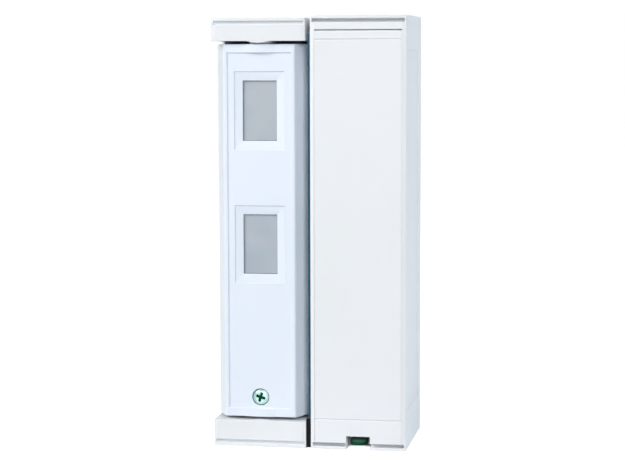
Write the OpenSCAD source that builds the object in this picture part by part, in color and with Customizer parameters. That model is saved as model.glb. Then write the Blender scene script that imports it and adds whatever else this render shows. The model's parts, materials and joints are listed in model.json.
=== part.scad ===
// Wireless passive infrared detector for outdoor walls: a panning twin-window detector head
// held between two end caps, beside a battery and transmitter box with a hooked front cover.
// Lengths are millimetres. X runs to the right, Y runs back to the wall and Z runs up.
// The origin is at the bottom centre of the whole footprint.

/* [Overall] */
// Height of the battery box
unit_h = 200; // [185:1:230]
// How much lower the detector unit stands than the box
det_drop = 1; // [0:0.1:2]
// Depth of both units with the mounting plate
unit_d = 56; // [54:0.5:64]
// Width of the detector unit
det_w = 43.8; // [43:0.2:46]
// Width of the battery box
box_w = 44.4; // [43:0.2:50]
// Space between the two units
unit_gap = 2.2; // [2:0.1:4]
// Width of the shallow bevel at the front corners
stile_bevel_w = 1.9; // [1.2:0.1:2.4]
// Depth that the bevel slopes back to the side
stile_bevel_d = 0.5; // [0.3:0.05:0.8]
// Wall of the base, caps and plate flange
wall = 2; // [1.6:0.1:2.4]

/* [End slots] */
// Thickness of the rim beyond each slot
rim_t = 1.4; // [1:0.1:2]
// Height of each slot
slot_h = 1.7; // [1.2:0.1:2.2]
// Depth of the slots in the battery box
slot_d = 3; // [2:0.1:3.4]
// Depth of the shallow grooves in the caps
cap_slot_d = 1.3; // [0.8:0.1:2]
// Closed end left beside each slot
slot_end = 0.9; // [0.6:0.1:1.6]

/* [Mounting plate] */
// Depth of the plate's flange
plate_d = 9.3; // [8.5:0.1:11]
// Thickness of the plate's back
plate_t = 3; // [2.4:0.1:4]
// Radius of the wall screw holes
wall_hole_r = 2.3; // [1.8:0.1:2.8]
// Distance between the wall screw rows
wall_pitch_z = 120; // [100:1:130]
// Radius of the cable entry
entry_r = 6; // [4:0.5:7]
// Distance of the unit screws from each end
unit_screw_inset = 26; // [22:1:30]

/* [Detector base and caps] */
// Height of the top end cap
top_cap_h = 10.5; // [10:0.1:13]
// Height of the bottom end cap
bottom_cap_h = 12.5; // [11:0.1:14]
// Plate of each cap that faces the head
cap_plate = 2.5; // [2:0.1:3]
// Share of the unit's depth in front of the pan axis
axis_share = 0.3212; // [0.31:0.001:0.33]
// Running space between the head and its trough
trough_clear = 0.6; // [0.4:0.1:1]
// Distance from the pan axis back to the base's front edges
base_front_step = 8.5; // [7.5:0.1:10]

/* [Head] */
// Depth from the front to the head's face
head_front_d = 2; // [1.5:0.1:3]
// Distance from the joint between head cover and head shell back to the pan axis
split_ahead = 2.5; // [2.4:0.1:3]
// Step from the round back in to each side of the face
face_step = 4.85; // [3.6:0.05:6.2]
// Space between the head's round back and the side of the unit
head_side_gap = 0.25; // [0.1:0.05:0.9]
// Space between the top cap and the head
head_gap_top = 1.4; // [1.2:0.1:2]
// Space between the bottom cap and the head
head_gap_bottom = 1.5; // [1.3:0.1:2]
// Wall of the head shell and of the cover's flanks
head_wall = 2; // [1.6:0.1:2.2]
// Thickness of the cover's front wall
head_front_wall = 2.7; // [2.5:0.1:3.2]
// Radius of the face's vertical edges
head_edge_r = 1.2; // [0.5:0.1:2]
// Depth of the recessed face panel
panel_recess = 0.5; // [0.3:0.1:0.7]
// Width of the plain strip on each side of the panel
panel_side = 1.9; // [1.6:0.1:2.8]
// Height of the plain strips above and below the panel
panel_margin = 3.9; // [3:0.1:5]
// Radius of each pivot pin
pivot_r = 2.3; // [1.8:0.1:2.4]

/* [Lens windows] */
// Place of the upper window's centre, a share of the head's height
upper_window_share = 0.8234; // [0.81:0.001:0.84]
// Place of the lower window's centre, a share of the head's height
lower_window_share = 0.4662; // [0.45:0.001:0.48]
// Width of each clear opening
window_w = 15.9; // [14:0.1:16.5]
// Height of each clear opening
window_h = 27.7; // [25:0.1:29]
// Width of the bevel beside each opening
bevel_w = 3.75; // [2.5:0.05:4.2]
// Depth of the small step round each bevel
bevel_step = 0.35; // [0.1:0.05:0.4]
// Depth of each bevel
bevel_d = 1; // [0.6:0.1:1.3]
// Thickness of each lens
lens_t = 0.8; // [0.6:0.1:1.2]
// Rings cut in the back of each lens
lens_rings = 8; // [4:1:10]

/* [Battery box] */
// Wall of the box tray
box_wall = 1.9; // [1.6:0.1:2.4]
// Height of the bar above the cover
bar_h = 3.3; // [3:0.1:4]
// Seam between the bar and the cover
seam_h = 0.5; // [0.4:0.05:0.7]
// Thickness of the cover
cover_t = 2.2; // [1.8:0.1:2.6]
// Side seam between cover and tray
cover_clear = 0.2; // [0.2:0.05:0.5]
// Distance from the cover's top to its upper line
line_top = 4.1; // [3:0.1:6]
// Distance from the cover's bottom to its lower line
line_bottom = 10.9; // [9:0.1:12]
// Width of the notch at the bottom
notch_w = 11; // [10.5:0.1:12]
// Height of the notch
notch_h = 6.3; // [6:0.1:7]
// Depth of the notch
notch_d = 9.5; // [9.4:0.1:10.5]
// Radius of the lock screw's head
lock_head_r = 4.25; // [3.5:0.05:4.4]
// Radius of the lock screw's shank
lock_shank_r = 1.5; // [1.2:0.05:1.6]

/* [Contents] */
// Radius of each battery cell
cell_r = 7.25; // [7:0.05:7.5]
// Length of each battery cell
cell_len = 50.5; // [48:0.5:52]
// Thickness of the circuit boards
board_t = 1.6; // [1.2:0.1:2]

/* [Hidden] */
$fn = 48;

// Colours of the plastics and metals
c_white = "#eef1f3";
c_head = "#e9f0f7";
c_lens = "#a9b5bf";
c_board = "#2f6b45";
c_black = "#2b2d30";
c_steel = "#b9c2c2";
c_brass = "#c9a45a";
c_rubber = "#55595d";
c_cell = "#4a6f9a";
c_lamp = "#c03a30";

// One overrun serves every cut
cut = 1;
// Running clearance of pins and shafts in their bores
run_fit = 0.05;
// Space between pieces that pass each other
pass_gap = 0.3;
// Space left where a seated piece only has to drop in
seat_gap = 0.1;

// Derived places
total_w = det_w + unit_gap + box_w;
det_h = unit_h - det_drop;
body_d = unit_d - plate_d;
det_x = -total_w / 2 + det_w / 2;
box_x = total_w / 2 - box_w / 2;
slot_top = rim_t + slot_h;

// Small screws that share one pattern: pan head radius, height, shank radius
pan_r = 2.8;
pan_h = 1.9;
thread_r = 1.4;
thread_len = 6;
boss_r = 3.5;
thread_clear = 0.5;
// Shares of a screw head's radius: its dome, the reach and the width of its cross recess
screw_shares = [1.3, 0.65, 0.17];
// Depth of a cross recess as a share of the head's height
recess_share = 0.75;

// Base and caps
head_r = det_w / 2 - head_side_gap;
axis_d = body_d * axis_share;
base_front_d = axis_d + base_front_step;
trough_r = head_r + trough_clear;
cap_skin = 2;
cap_screw_in = 5.2;
cap_screw_x = det_w / 2 - cap_screw_in;
cap_screw_up = 6;
cap_screw_d = body_d - cap_screw_up;
cap_boss_len = 14;
base_z0 = bottom_cap_h;
base_z1 = det_h - top_cap_h;
lip_w = 10.6;
top_lip_rise = 0.8;
bottom_lip_rise = 0.4;
lip_d = 2.2;
bush_wall = 2.2;
bush_r = pivot_r + run_fit + bush_wall;
bush_flange_r = 7;
link_z = 60;
link_up = 6.7;
link_d = body_d - link_up;
link_r = 4;
link_bore_r = 2.8;
link_out = 1.5;
driver_hole_r = 3.4;

// Head
head_split_d = axis_d - split_ahead;
head_face_half = head_r - face_step;
panel_half = head_face_half - panel_side;
head_z0 = bottom_cap_h + head_gap_bottom;
head_z1 = det_h - top_cap_h - head_gap_top;
head_h = head_z1 - head_z0;
split_half = sqrt(pow(head_r, 2) - pow(axis_d - head_split_d, 2));
flank_run = head_split_d - head_front_d;
flank_angle = atan((split_half - head_face_half) / flank_run);
pivot_over = 1.5;
head_screw_up = 9.1;
head_screw_z = head_z0 + head_screw_up;
counterbore_r = 4.05;
counterbore_d = 1.7;
head_pan_r = 3.3;
head_pan_h = 1.7;
head_thread_r = 1.5;
head_thread_len = 15;
head_boss_r = 5.2;
post_r = 3;
bump_w = 14.6;
bump_rise = 0.8;
tongue_w = 6;
tongue_t = 1.4;
tongue_len = 3;
tongue_in = 3.9;
tongue_x = panel_half - tongue_in;
gasket_w = 0.9;
gasket_t = 1.2;
gasket_inset = 1;

// Lenses and sensors
upper_window_z = head_z0 + head_h * upper_window_share;
lower_window_z = head_z0 + head_h * lower_window_share;
window_zs = [upper_window_z, lower_window_z];
bevel_extra = 0.4;
lens_margin = 1.8;
lens_w = window_w + 2 * lens_margin;
lens_h = window_h + 2 * lens_margin;
lens_front_d = head_front_d + head_front_wall;
ring_cut = 0.25;
ring_pitch = 2;
head_board_back = 8.6;
head_board_d = axis_d + head_board_back;
head_board_clear = 0.6;
head_board_half = sqrt(pow(head_r - head_wall, 2) - pow(head_board_back + board_t, 2)) - head_board_clear;
head_board_inset = 8;
head_board_screw_in = 3.7;
head_board_screw_x = head_board_half - head_board_screw_in;
head_board_screw_inset = 5;
sensor_r = 4.6;
sensor_h = 4.3;
sensor_flange_r = 4.9;
sensor_flange_h = 0.5;
sensor_window = 4;
chamber_wall = 1.2;
chamber_foot = 12;

// Slide switch with three levers, terminal blocks and lamp
dip_z = (upper_window_z + lower_window_z) / 2;
dip_w = 10;
dip_h = 6;
dip_t = 4;
dip_count = 3;
dip_pitch = 3;
lever_w = 1.4;
lever_h = 1.4;
lever_out = 1.2;
lever_travel = 1.6;
lever_slot_d = 1.5;
term_ways = 6;
term_pitch = 4;
term_d = 8;
term_h = 9;
term_hole_r = 1.3;
term_share = 0.254;
term_z = head_z0 + head_h * term_share;
led_r = 1.5;
led_h = 4;
led_in = 6.2;
led_x = head_board_half - led_in;
led_drop = 5.5;
led_z = dip_z - led_drop;

// Box
box_in = box_w - 2 * box_wall;
bar_d = slot_d + wall;
bar_z0 = unit_h - slot_top - bar_h;
cover_z1 = bar_z0 - seam_h;
cover_z0 = slot_top;
cover_w = box_in - 2 * cover_clear;
top_wall = 2.4;
floor_t = 2.4;
line_w = 0.5;
line_d = 0.3;
ledge_w = 2;
ledge_d0 = 6;
ledge_d1 = 8;
ledge_up = 1.9;
ledge_down = 9;
ledge_z1 = cover_z1 - ledge_down;
rib_t = 1.2;
box_gasket_t = 0.9;
rib_end_d = ledge_d0 - box_gasket_t - pass_gap;
hook_w = 6;
hook_x = 12;
hook_t = 1.6;
hook_d = 6;
hook_rise = 1;
lug_wall = 2;
lug_h = 5;
tab_t = 1.5;
tab_half = notch_w / 2 - pass_gap;
tab_end_d = 7.8;
tab_slot = 2 * (lock_shank_r + pass_gap);
cover_edge_r = 0.5;
lug_z0 = notch_h + tab_t + pass_gap;
lug_z1 = lug_z0 + lug_h;
ledge_z0 = lug_z1 + ledge_up;
lock_d = 5;
lock_head_z = 1.6;
lock_head_h = 1.9;
side_panel_d = 6.7;
side_panel_cut = 0.4;
side_panel_z0 = 18;
side_panel_down = 16;
side_panel_z1 = unit_h - side_panel_down;

// Batteries
holder_z0 = 24;
holder_wall = 1.5;
holder_d = 18;
holder_floor = 2;
cell_gap = 0.4;
contact_t = 0.6;
spring_len = 3;
button_r = 2.7;
button_h = 1.2;
// Shares of a cell's radius: half the contact plate, the foot and the tip of the spring
contact_shares = [0.8, 0.6, 0.3];
holder_w = 4 * cell_r + 3 * cell_gap + 2 * holder_wall;
holder_h = cell_len + button_h + spring_len + 2 * contact_t + 2 * holder_wall;
holder_back = body_d - wall;
holder_top = holder_z0 + holder_h;
cell_d = holder_back - holder_floor - cell_r - cell_gap;
cell_z0 = holder_z0 + holder_wall + contact_t + spring_len;
// How far the link sleeve stands into the box, a share of the space beside the holder
link_in_share = 0.4;
link_in = (box_in - holder_w) / 2 * link_in_share;

// Tamper switch
tamper_w = 10;
tamper_h = 7;
tamper_len = 9;
tamper_x = 10;
tamper_down = 19.1;
tamper_z = cover_z1 - tamper_down;

// Transmitter board, its height a share of the space above the batteries
tx_gap = 2;
tx_share = 0.763;
tx_z1 = tamper_z - tx_gap;
tx_h = (tx_z1 - holder_top) * tx_share;
tx_z0 = tx_z1 - tx_h;
tx_half = 16.5;
tx_stand = 8.7;
tx_d = body_d - tx_stand;
tx_inset = 4.5;
part_gap = 2.2;
// Shares of the board: the can's middle, foot, the relay's middle, foot and top, the chip's middle and foot
can_shares = [-0.33, 0.566];
relay_shares = [-0.5, 0.2, 0.434];
chip_shares = [0.4, 0.5];
can_w = 15;
can_t = 3;
chip_w = 9;
chip_t = 1.4;
relay_w = 12;
relay_t = 8;
antenna_r = 0.9;
antenna_coil_r = 2.6;
antenna_share = 0.38;
antenna_len = tx_h * antenna_share;
term_x_share = 0.3;
tamper_d0 = 9;
shelf_t = 1.6;
plunger_r = 1.6;
plunger_travel = 1.5;
plunger_in = 3.5;

function dy(d) = d - unit_d / 2;

module at_det() {
    translate([det_x, dy(0), 0]) children();
}

module at_box() {
    translate([box_x, dy(0), 0]) children();
}

// Outline seen from above with a wide, shallow bevel at each front corner
module front_bevel(w, d) {
    polygon([
        [-w / 2, d], [-w / 2, stile_bevel_d], [-w / 2 + stile_bevel_w, 0],
        [w / 2 - stile_bevel_w, 0], [w / 2, stile_bevel_d], [w / 2, d],
    ]);
}

// A box centred on X, from depth d0 to d1 and height z0 to z1
module block(w, d0, d1, z0, z1) {
    translate([-w / 2, d0, z0]) cube([w, d1 - d0, z1 - z0]);
}

// A pan head screw along +Z with its seat at height 0
module pan_screw(head_r, head_h, shank_r, shank_len) {
    difference() {
        union() {
            intersection() {
                translate([0, 0, -head_h]) cylinder(r = head_r, h = head_h);
                translate([0, 0, head_r * screw_shares[0] - head_h]) sphere(r = head_r * screw_shares[0]);
            }
            cylinder(r = shank_r, h = shank_len);
        }
        cross_recess(head_r, head_h);
    }
}

module cross_recess(head_r, head_h) {
    arm = head_r * screw_shares[1];
    half_w = head_r * screw_shares[2];
    for (a = [0, 90]) rotate(a)
        translate([-arm, -half_w, -head_h - cut]) cube([2 * arm, 2 * half_w, cut + head_h * recess_share]);
}

module mounting_plate() {
    color(c_white) difference() {
        union() {
            difference() {
                union() {
                    translate([-total_w / 2, dy(body_d), 0]) cube([total_w, plate_d, det_h]);
                    translate([box_x, dy(0), 0]) block(box_w, body_d, unit_d, 0, unit_h);
                }
                plate_pan(det_x, det_w, det_h);
                plate_pan(box_x, box_w, unit_h);
            }
            for (x = [det_x, box_x]) for (z = unit_screw_zs())
                translate([x, dy(body_d), z]) rotate([-90, 0, 0])
                    cylinder(r = boss_r, h = plate_d - wall);
        }
        for (x = [det_x, box_x]) for (z = unit_screw_zs())
            translate([x, dy(body_d) - cut, z]) rotate([-90, 0, 0])
                cylinder(r = thread_r + run_fit, h = cut + thread_len);
        for (x = [det_x, box_x]) for (s = [-1, 1])
            translate([x, dy(unit_d) + cut, unit_h / 2 + s * wall_pitch_z / 2]) rotate([90, 0, 0])
                cylinder(r = wall_hole_r, h = plate_t + 2 * cut);
        translate([det_x, dy(unit_d) + cut, unit_h / 2]) rotate([90, 0, 0])
            cylinder(r = entry_r + wall, h = plate_t + 2 * cut);
    }
}

function unit_screw_zs() = [unit_screw_inset, unit_h - unit_screw_inset];

module plate_pan(x, w, h) {
    translate([x, dy(0), 0])
        block(w - 2 * wall, body_d - cut, unit_d - plate_t, wall, h - wall);
}

module unit_screws() {
    color(c_steel) {
        for (z = unit_screw_zs()) {
            at_det() translate([0, body_d - wall, z]) rotate([-90, 0, 0])
                pan_screw(pan_r, pan_h, thread_r, wall + thread_len - thread_clear);
            at_box() translate([0, body_d - wall, z]) rotate([-90, 0, 0])
                pan_screw(pan_r, pan_h, thread_r, wall + thread_len - thread_clear);
        }
    }
}

// Rubber cable seal in the back of the detector base
module entry_grommet() {
    color(c_rubber) at_det() translate([0, body_d, unit_h / 2]) rotate([-90, 0, 0]) difference() {
        union() {
            translate([0, 0, -wall]) cylinder(r = entry_r, h = wall + plate_d - plate_t / 2);
            cylinder(r = entry_r + wall - pass_gap, h = wall);
            translate([0, 0, -wall - wall / 2]) cylinder(r = entry_r + wall / 2, h = wall / 2);
        }
        translate([0, 0, -wall * 2]) cylinder(r = entry_r / 2, h = plate_d + wall * 2);
    }
}

module base_outline() {
    difference() {
        translate([-det_w / 2, base_front_d]) square([det_w, body_d - base_front_d]);
        translate([0, axis_d]) circle(trough_r, $fn = 96);
    }
}

module base_cavity() {
    difference() {
        translate([-det_w / 2 + wall, base_front_d])
            square([det_w - 2 * wall, body_d - base_front_d - wall]);
        translate([0, axis_d]) circle(trough_r + wall, $fn = 96);
    }
}

module detector_base() {
    color(c_white) at_det() difference() {
        union() {
            translate([0, 0, base_z0]) linear_extrude(base_z1 - base_z0) difference() {
                base_outline();
                base_cavity();
            }
            for (s = [-1, 1]) for (z = [base_z0, base_z1 - cap_boss_len])
                translate([s * cap_screw_x, cap_screw_d, z]) cylinder(r = boss_r, h = cap_boss_len);
        }
        for (s = [-1, 1]) for (z = [base_z0 - cut, base_z1 - cap_boss_len + wall])
            translate([s * cap_screw_x, cap_screw_d, z])
                cylinder(r = thread_r + run_fit, h = cap_boss_len - wall + cut);
        for (z = unit_screw_zs()) translate([0, body_d + cut, z]) rotate([90, 0, 0]) {
            cylinder(r = thread_r + run_fit, h = wall + 2 * cut);
            translate([0, 0, wall + cut + seat_gap]) cylinder(r = driver_hole_r, h = body_d - axis_d);
        }
        translate([0, body_d + cut, unit_h / 2]) rotate([90, 0, 0])
            cylinder(r = entry_r + run_fit, h = wall + 2 * cut);
        translate([0, body_d - wall, unit_h / 2]) rotate([90, 0, 0])
            cylinder(r = entry_r + wall / 2 + pass_gap, h = wall / 2 + pass_gap);
        translate([det_w / 2 - wall - cut, link_d, link_z]) rotate([0, 90, 0])
            cylinder(r = link_r + run_fit, h = wall + 2 * cut);
    }
}

// End cap with its outer rim at height 0 and its inner face at height h
module end_cap(h, lip_rise) {
    difference() {
        union() {
            difference() {
                linear_extrude(h) front_bevel(det_w, body_d);
                block(det_w - 2 * wall, slot_d + wall, body_d + cut, cap_skin, h - cap_plate);
            }
            for (s = [-1, 1]) translate([s * cap_screw_x, cap_screw_d, 0])
                cylinder(r = boss_r + wall / 2, h = h);
            cap_lip(h, lip_rise);
        }
        block(det_w - 2 * slot_end, -cut, cap_slot_d, rim_t, slot_top);
        translate([0, axis_d, h - cap_plate - cut]) cylinder(r = bush_r + run_fit, h = cap_plate + 2 * cut);
        for (s = [-1, 1]) translate([s * cap_screw_x, cap_screw_d, -cut]) {
            cylinder(r = thread_r + run_fit * 2, h = h + 2 * cut);
            cylinder(r = pan_r + seat_gap * 2, h = h - cap_plate + cut);
        }
    }
}

// Index mark at the front of each cap, a shallow rounded lip
module cap_lip(h, lip_rise) {
    lip_r = (pow(lip_w / 2, 2) + pow(lip_rise, 2)) / (2 * lip_rise);
    intersection() {
        translate([0, 0, h + lip_rise - lip_r]) rotate([-90, 0, 0])
            cylinder(r = lip_r, h = lip_d, $fn = 96);
        block(lip_w, 0, lip_d, h - cap_plate / 2, h + lip_rise);
    }
}

module top_end_cap() {
    color(c_white) at_det() translate([0, 0, det_h]) mirror([0, 0, 1]) end_cap(top_cap_h, top_lip_rise);
}

module bottom_end_cap() {
    color(c_white) at_det() end_cap(bottom_cap_h, bottom_lip_rise);
}

module end_cap_screws() {
    color(c_steel) at_det() for (s = [-1, 1]) {
        translate([s * cap_screw_x, cap_screw_d, bottom_cap_h - cap_plate])
            pan_screw(pan_r, pan_h, thread_r, cap_plate + thread_len);
        translate([s * cap_screw_x, cap_screw_d, det_h - top_cap_h + cap_plate]) mirror([0, 0, 1])
            pan_screw(pan_r, pan_h, thread_r, cap_plate + thread_len);
    }
}

// Flanged bush with its flange facing the head
module pivot_bush(flange_h) {
    difference() {
        union() {
            translate([0, 0, -cap_plate]) cylinder(r = bush_r, h = cap_plate);
            cylinder(r = bush_flange_r, h = flange_h);
        }
        translate([0, 0, -cap_plate - cut])
            cylinder(r = pivot_r + run_fit, h = cap_plate + flange_h + 2 * cut);
    }
}

module pivot_bushes() {
    color(c_steel) at_det() translate([0, axis_d, 0]) {
        translate([0, 0, bottom_cap_h]) pivot_bush(head_gap_bottom - pass_gap);
        translate([0, 0, det_h - top_cap_h]) mirror([0, 0, 1]) pivot_bush(head_gap_top - pass_gap);
    }
}

// Hollow sleeve that carries the wires from the detector base to the box
module link_sleeve() {
    sleeve_x0 = det_x + det_w / 2 - wall - link_out;
    sleeve_x1 = box_x - box_w / 2 + box_wall + link_in;
    color(c_rubber) translate([sleeve_x0, dy(link_d), link_z]) rotate([0, 90, 0]) difference() {
        union() {
            cylinder(r = link_r, h = sleeve_x1 - sleeve_x0);
            translate([0, 0, link_out + wall]) cylinder(r = link_r + link_out, h = unit_gap);
        }
        translate([0, 0, -cut]) cylinder(r = link_bore_r, h = sleeve_x1 - sleeve_x0 + 2 * cut);
    }
}

// Front part of the head's outline: a trapezoid with rounded face corners
module face_outline(front, half, r) {
    t = r / tan((90 + flank_angle) / 2);
    grow = tan(flank_angle);
    back_half = half + (head_split_d - front) * grow;
    polygon([
        [-half + t, front],
        [half - t, front],
        [half + t * sin(flank_angle), front + t * cos(flank_angle)],
        [back_half, head_split_d],
        [-back_half, head_split_d],
        [-half - t * sin(flank_angle), front + t * cos(flank_angle)]
    ]);
    for (s = [-1, 1]) translate([s * (half - t), front + r]) circle(r, $fn = 32);
}

// Half width of the cover's inside at its front
function face_inner_half() =
    head_face_half + head_front_wall * tan(flank_angle) - head_wall / cos(flank_angle);

module window_pocket(zc) {
    panel_d = head_front_d + panel_recess;
    outer_w = window_w + 2 * bevel_w;
    outer_h = window_h + 2 * (bevel_w + bevel_extra);
    block(outer_w, panel_d - cut, panel_d + bevel_step, zc - outer_h / 2, zc + outer_h / 2);
    hull() {
        block(outer_w, panel_d, panel_d + bevel_step, zc - outer_h / 2, zc + outer_h / 2);
        block(window_w, panel_d, panel_d + bevel_step + bevel_d, zc - window_h / 2, zc + window_h / 2);
    }
    block(window_w, panel_d, lens_front_d + cut, zc - window_h / 2, zc + window_h / 2);
}

// Index bump across the plain strip above or below the panel
module index_bump(z0, z1) {
    bump_r = (pow(bump_w / 2, 2) + pow(bump_rise, 2)) / (2 * bump_rise);
    intersection() {
        translate([0, head_front_d - bump_rise + bump_r, z0]) cylinder(r = bump_r, h = z1 - z0, $fn = 128);
        block(bump_w, head_front_d - bump_rise, head_front_d + panel_recess, z0, z1);
    }
}

module head_front_cover() {
    color(c_head) at_det() difference() {
        union() {
            difference() {
                translate([0, 0, head_z0]) linear_extrude(head_h)
                    face_outline(head_front_d, head_face_half, head_edge_r);
                translate([0, 0, head_z0 + head_wall]) linear_extrude(head_h - 2 * head_wall)
                    face_outline(lens_front_d, face_inner_half(), head_edge_r / 2);
                block(2 * face_inner_half(), head_split_d - cut, head_split_d + cut,
                    head_z0 + head_wall, head_z1 - head_wall);
            }
            index_bump(head_z0, head_z0 + panel_margin);
            index_bump(head_z1 - panel_margin, head_z1);
            translate([0, head_front_d + panel_recess + seat_gap, head_screw_z]) rotate([-90, 0, 0])
                cylinder(r = head_boss_r, h = flank_run - panel_recess - seat_gap);
            for (s = [-1, 1]) translate([s * tongue_x, 0, 0])
                block(tongue_w, lens_front_d, head_split_d + tongue_len,
                    head_z1 - head_wall - tongue_t, head_z1 - head_wall);
        }
        block(2 * panel_half, head_front_d - cut, head_front_d + panel_recess,
            head_z0 + panel_margin, head_z1 - panel_margin);
        for (z = window_zs) window_pocket(z);
        translate([0, head_front_d, head_screw_z]) rotate([-90, 0, 0]) {
            cylinder(r = counterbore_r, h = counterbore_d + panel_recess);
            cylinder(r = head_thread_r + run_fit, h = flank_run + cut);
        }
    }
}

module head_round_outline(r) {
    intersection() {
        translate([0, axis_d]) circle(r, $fn = 96);
        translate([-r, head_split_d]) square([2 * r, axis_d + r - head_split_d]);
    }
}

module head_rear_shell() {
    color(c_head) at_det() difference() {
        union() {
            difference() {
                translate([0, 0, head_z0]) linear_extrude(head_h) head_round_outline(head_r);
                translate([0, -cut, head_z0 + head_wall]) linear_extrude(head_h - 2 * head_wall)
                    union() {
                        head_round_outline(head_r - head_wall);
                        translate([0, cut]) head_round_outline(head_r - head_wall);
                    }
            }
            translate([0, axis_d, head_z1])
                cylinder(r = pivot_r, h = head_gap_top + cap_plate + pivot_over);
            translate([0, axis_d, head_z0 - head_gap_bottom - cap_plate - pivot_over])
                cylinder(r = pivot_r, h = head_gap_bottom + cap_plate + pivot_over);
            intersection() {
                union() {
                    translate([0, head_split_d + pass_gap, head_screw_z]) rotate([-90, 0, 0])
                        cylinder(r = post_r, h = head_r + axis_d - head_split_d);
                    for (s = [-1, 1]) for (z = head_board_screw_zs())
                        translate([s * head_board_screw_x, head_board_d + board_t, z]) rotate([-90, 0, 0])
                            cylinder(r = post_r, h = head_r);
                }
                translate([0, 0, head_z0]) linear_extrude(head_h) head_round_outline(head_r);
            }
        }
        gasket_ring(gasket_w + seat_gap, gasket_t, gasket_inset - seat_gap / 2, -cut);
        for (s = [-1, 1]) translate([s * tongue_x, 0, 0])
            block(tongue_w + 2 * seat_gap, head_split_d - cut, head_split_d + tongue_len + seat_gap,
                head_z1 - head_wall - tongue_t - seat_gap, head_z1 - head_wall + seat_gap);
        translate([0, head_split_d, head_screw_z]) rotate([-90, 0, 0])
            cylinder(r = head_thread_r + run_fit, h = head_thread_len);
        for (s = [-1, 1]) for (z = head_board_screw_zs())
            translate([s * head_board_screw_x, head_board_d, z]) rotate([-90, 0, 0])
                cylinder(r = thread_r + run_fit, h = board_t + thread_len);
    }
}

function head_board_z0() = head_z0 + head_board_inset * 2;
function head_board_z1() = head_z1 - head_board_inset;
function head_board_screw_zs() =
    [head_board_z0() + head_board_screw_inset, head_board_z1() - head_board_screw_inset];

// Rectangular ring that lies in the front edge of the head shell
module gasket_ring(w, t, inset, front) {
    half = split_half - inset;
    translate([0, head_split_d, 0]) difference() {
        block(2 * half, front, t, head_z0 + inset, head_z1 - inset);
        block(2 * (half - w), front - cut, t + cut, head_z0 + inset + w, head_z1 - inset - w);
    }
}

module head_gasket() {
    color(c_rubber) at_det() gasket_ring(gasket_w, gasket_t, gasket_inset, 0);
}

module lens(zc) {
    color(c_lens) at_det() difference() {
        block(lens_w, lens_front_d, lens_front_d + lens_t, zc - lens_h / 2, zc + lens_h / 2);
        for (i = [1:lens_rings])
            translate([0, lens_front_d + lens_t - ring_cut, zc]) rotate([-90, 0, 0]) difference() {
                cylinder(r = i * ring_pitch, h = cut);
                translate([0, 0, -cut]) cylinder(r = i * ring_pitch - ring_cut, h = 3 * cut);
            }
    }
}

module upper_lens() {
    lens(upper_window_z);
}

module lower_lens() {
    lens(lower_window_z);
}

module head_board() {
    color(c_board) at_det() difference() {
        block(2 * head_board_half, head_board_d, head_board_d + board_t, head_board_z0(), head_board_z1());
        for (s = [-1, 1]) for (z = head_board_screw_zs())
            translate([s * head_board_screw_x, head_board_d - cut, z]) rotate([-90, 0, 0])
                cylinder(r = thread_r + run_fit, h = board_t + 2 * cut);
    }
}

module head_board_screws() {
    color(c_steel) at_det() for (s = [-1, 1]) for (z = head_board_screw_zs())
        translate([s * head_board_screw_x, head_board_d, z]) rotate([-90, 0, 0])
            pan_screw(pan_r, pan_h, thread_r, board_t + thread_len - thread_clear);
}

// Round sensor can with a small square window, standing on the board
module pir_sensor(zc) {
    color(c_steel) at_det() translate([0, head_board_d, zc]) rotate([90, 0, 0]) difference() {
        union() {
            cylinder(r = sensor_flange_r, h = sensor_flange_h);
            cylinder(r = sensor_r, h = sensor_h);
        }
        translate([-sensor_window / 2, -sensor_window / 2, sensor_h - sensor_flange_h])
            cube([sensor_window, sensor_window, cut]);
    }
}

module upper_pir_sensor() {
    pir_sensor(upper_window_z);
}

module lower_pir_sensor() {
    pir_sensor(lower_window_z);
}

// Funnel between a lens and its sensor
module optic_chamber(zc) {
    front = lens_front_d + lens_t;
    mouth_w = lens_w - 2 * chamber_wall;
    mouth_h = lens_h - 2 * chamber_wall;
    foot_in = chamber_foot - 2 * chamber_wall;
    color(c_white) at_det() difference() {
        hull() {
            block(lens_w, front, front + chamber_wall, zc - lens_h / 2, zc + lens_h / 2);
            block(chamber_foot, head_board_d - chamber_wall, head_board_d,
                zc - chamber_foot / 2, zc + chamber_foot / 2);
        }
        hull() {
            block(mouth_w, front - cut, front, zc - mouth_h / 2, zc + mouth_h / 2);
            block(foot_in, head_board_d, head_board_d + cut, zc - foot_in / 2, zc + foot_in / 2);
        }
        translate([0, head_board_d + cut, zc]) rotate([90, 0, 0])
            cylinder(r = sensor_flange_r + seat_gap, h = sensor_h + cut + seat_gap * 3);
    }
}

module upper_optic_chamber() {
    optic_chamber(upper_window_z);
}

module lower_optic_chamber() {
    optic_chamber(lower_window_z);
}

function lever_x(i) = (i - (dip_count + 1) / 2) * dip_pitch;

module dip_switch() {
    color(c_black) at_det() difference() {
        block(dip_w, head_board_d - dip_t, head_board_d, dip_z - dip_h / 2, dip_z + dip_h / 2);
        for (i = [1:dip_count]) translate([lever_x(i), 0, 0])
            block(lever_w + 2 * seat_gap, head_board_d - dip_t - cut, head_board_d - dip_t + lever_slot_d,
                dip_z - lever_h / 2 - lever_travel / 2 - seat_gap,
                dip_z + lever_h / 2 + lever_travel / 2 + seat_gap);
    }
}

module dip_lever(i) {
    color(c_white) at_det() translate([lever_x(i), 0, -lever_travel / 2])
        block(lever_w, head_board_d - dip_t - lever_out, head_board_d - dip_t + lever_slot_d - seat_gap,
            dip_z - lever_h / 2, dip_z + lever_h / 2);
}

module dip_lever_1() {
    dip_lever(1);
}

module dip_lever_2() {
    dip_lever(2);
}

module dip_lever_3() {
    dip_lever(3);
}

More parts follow.
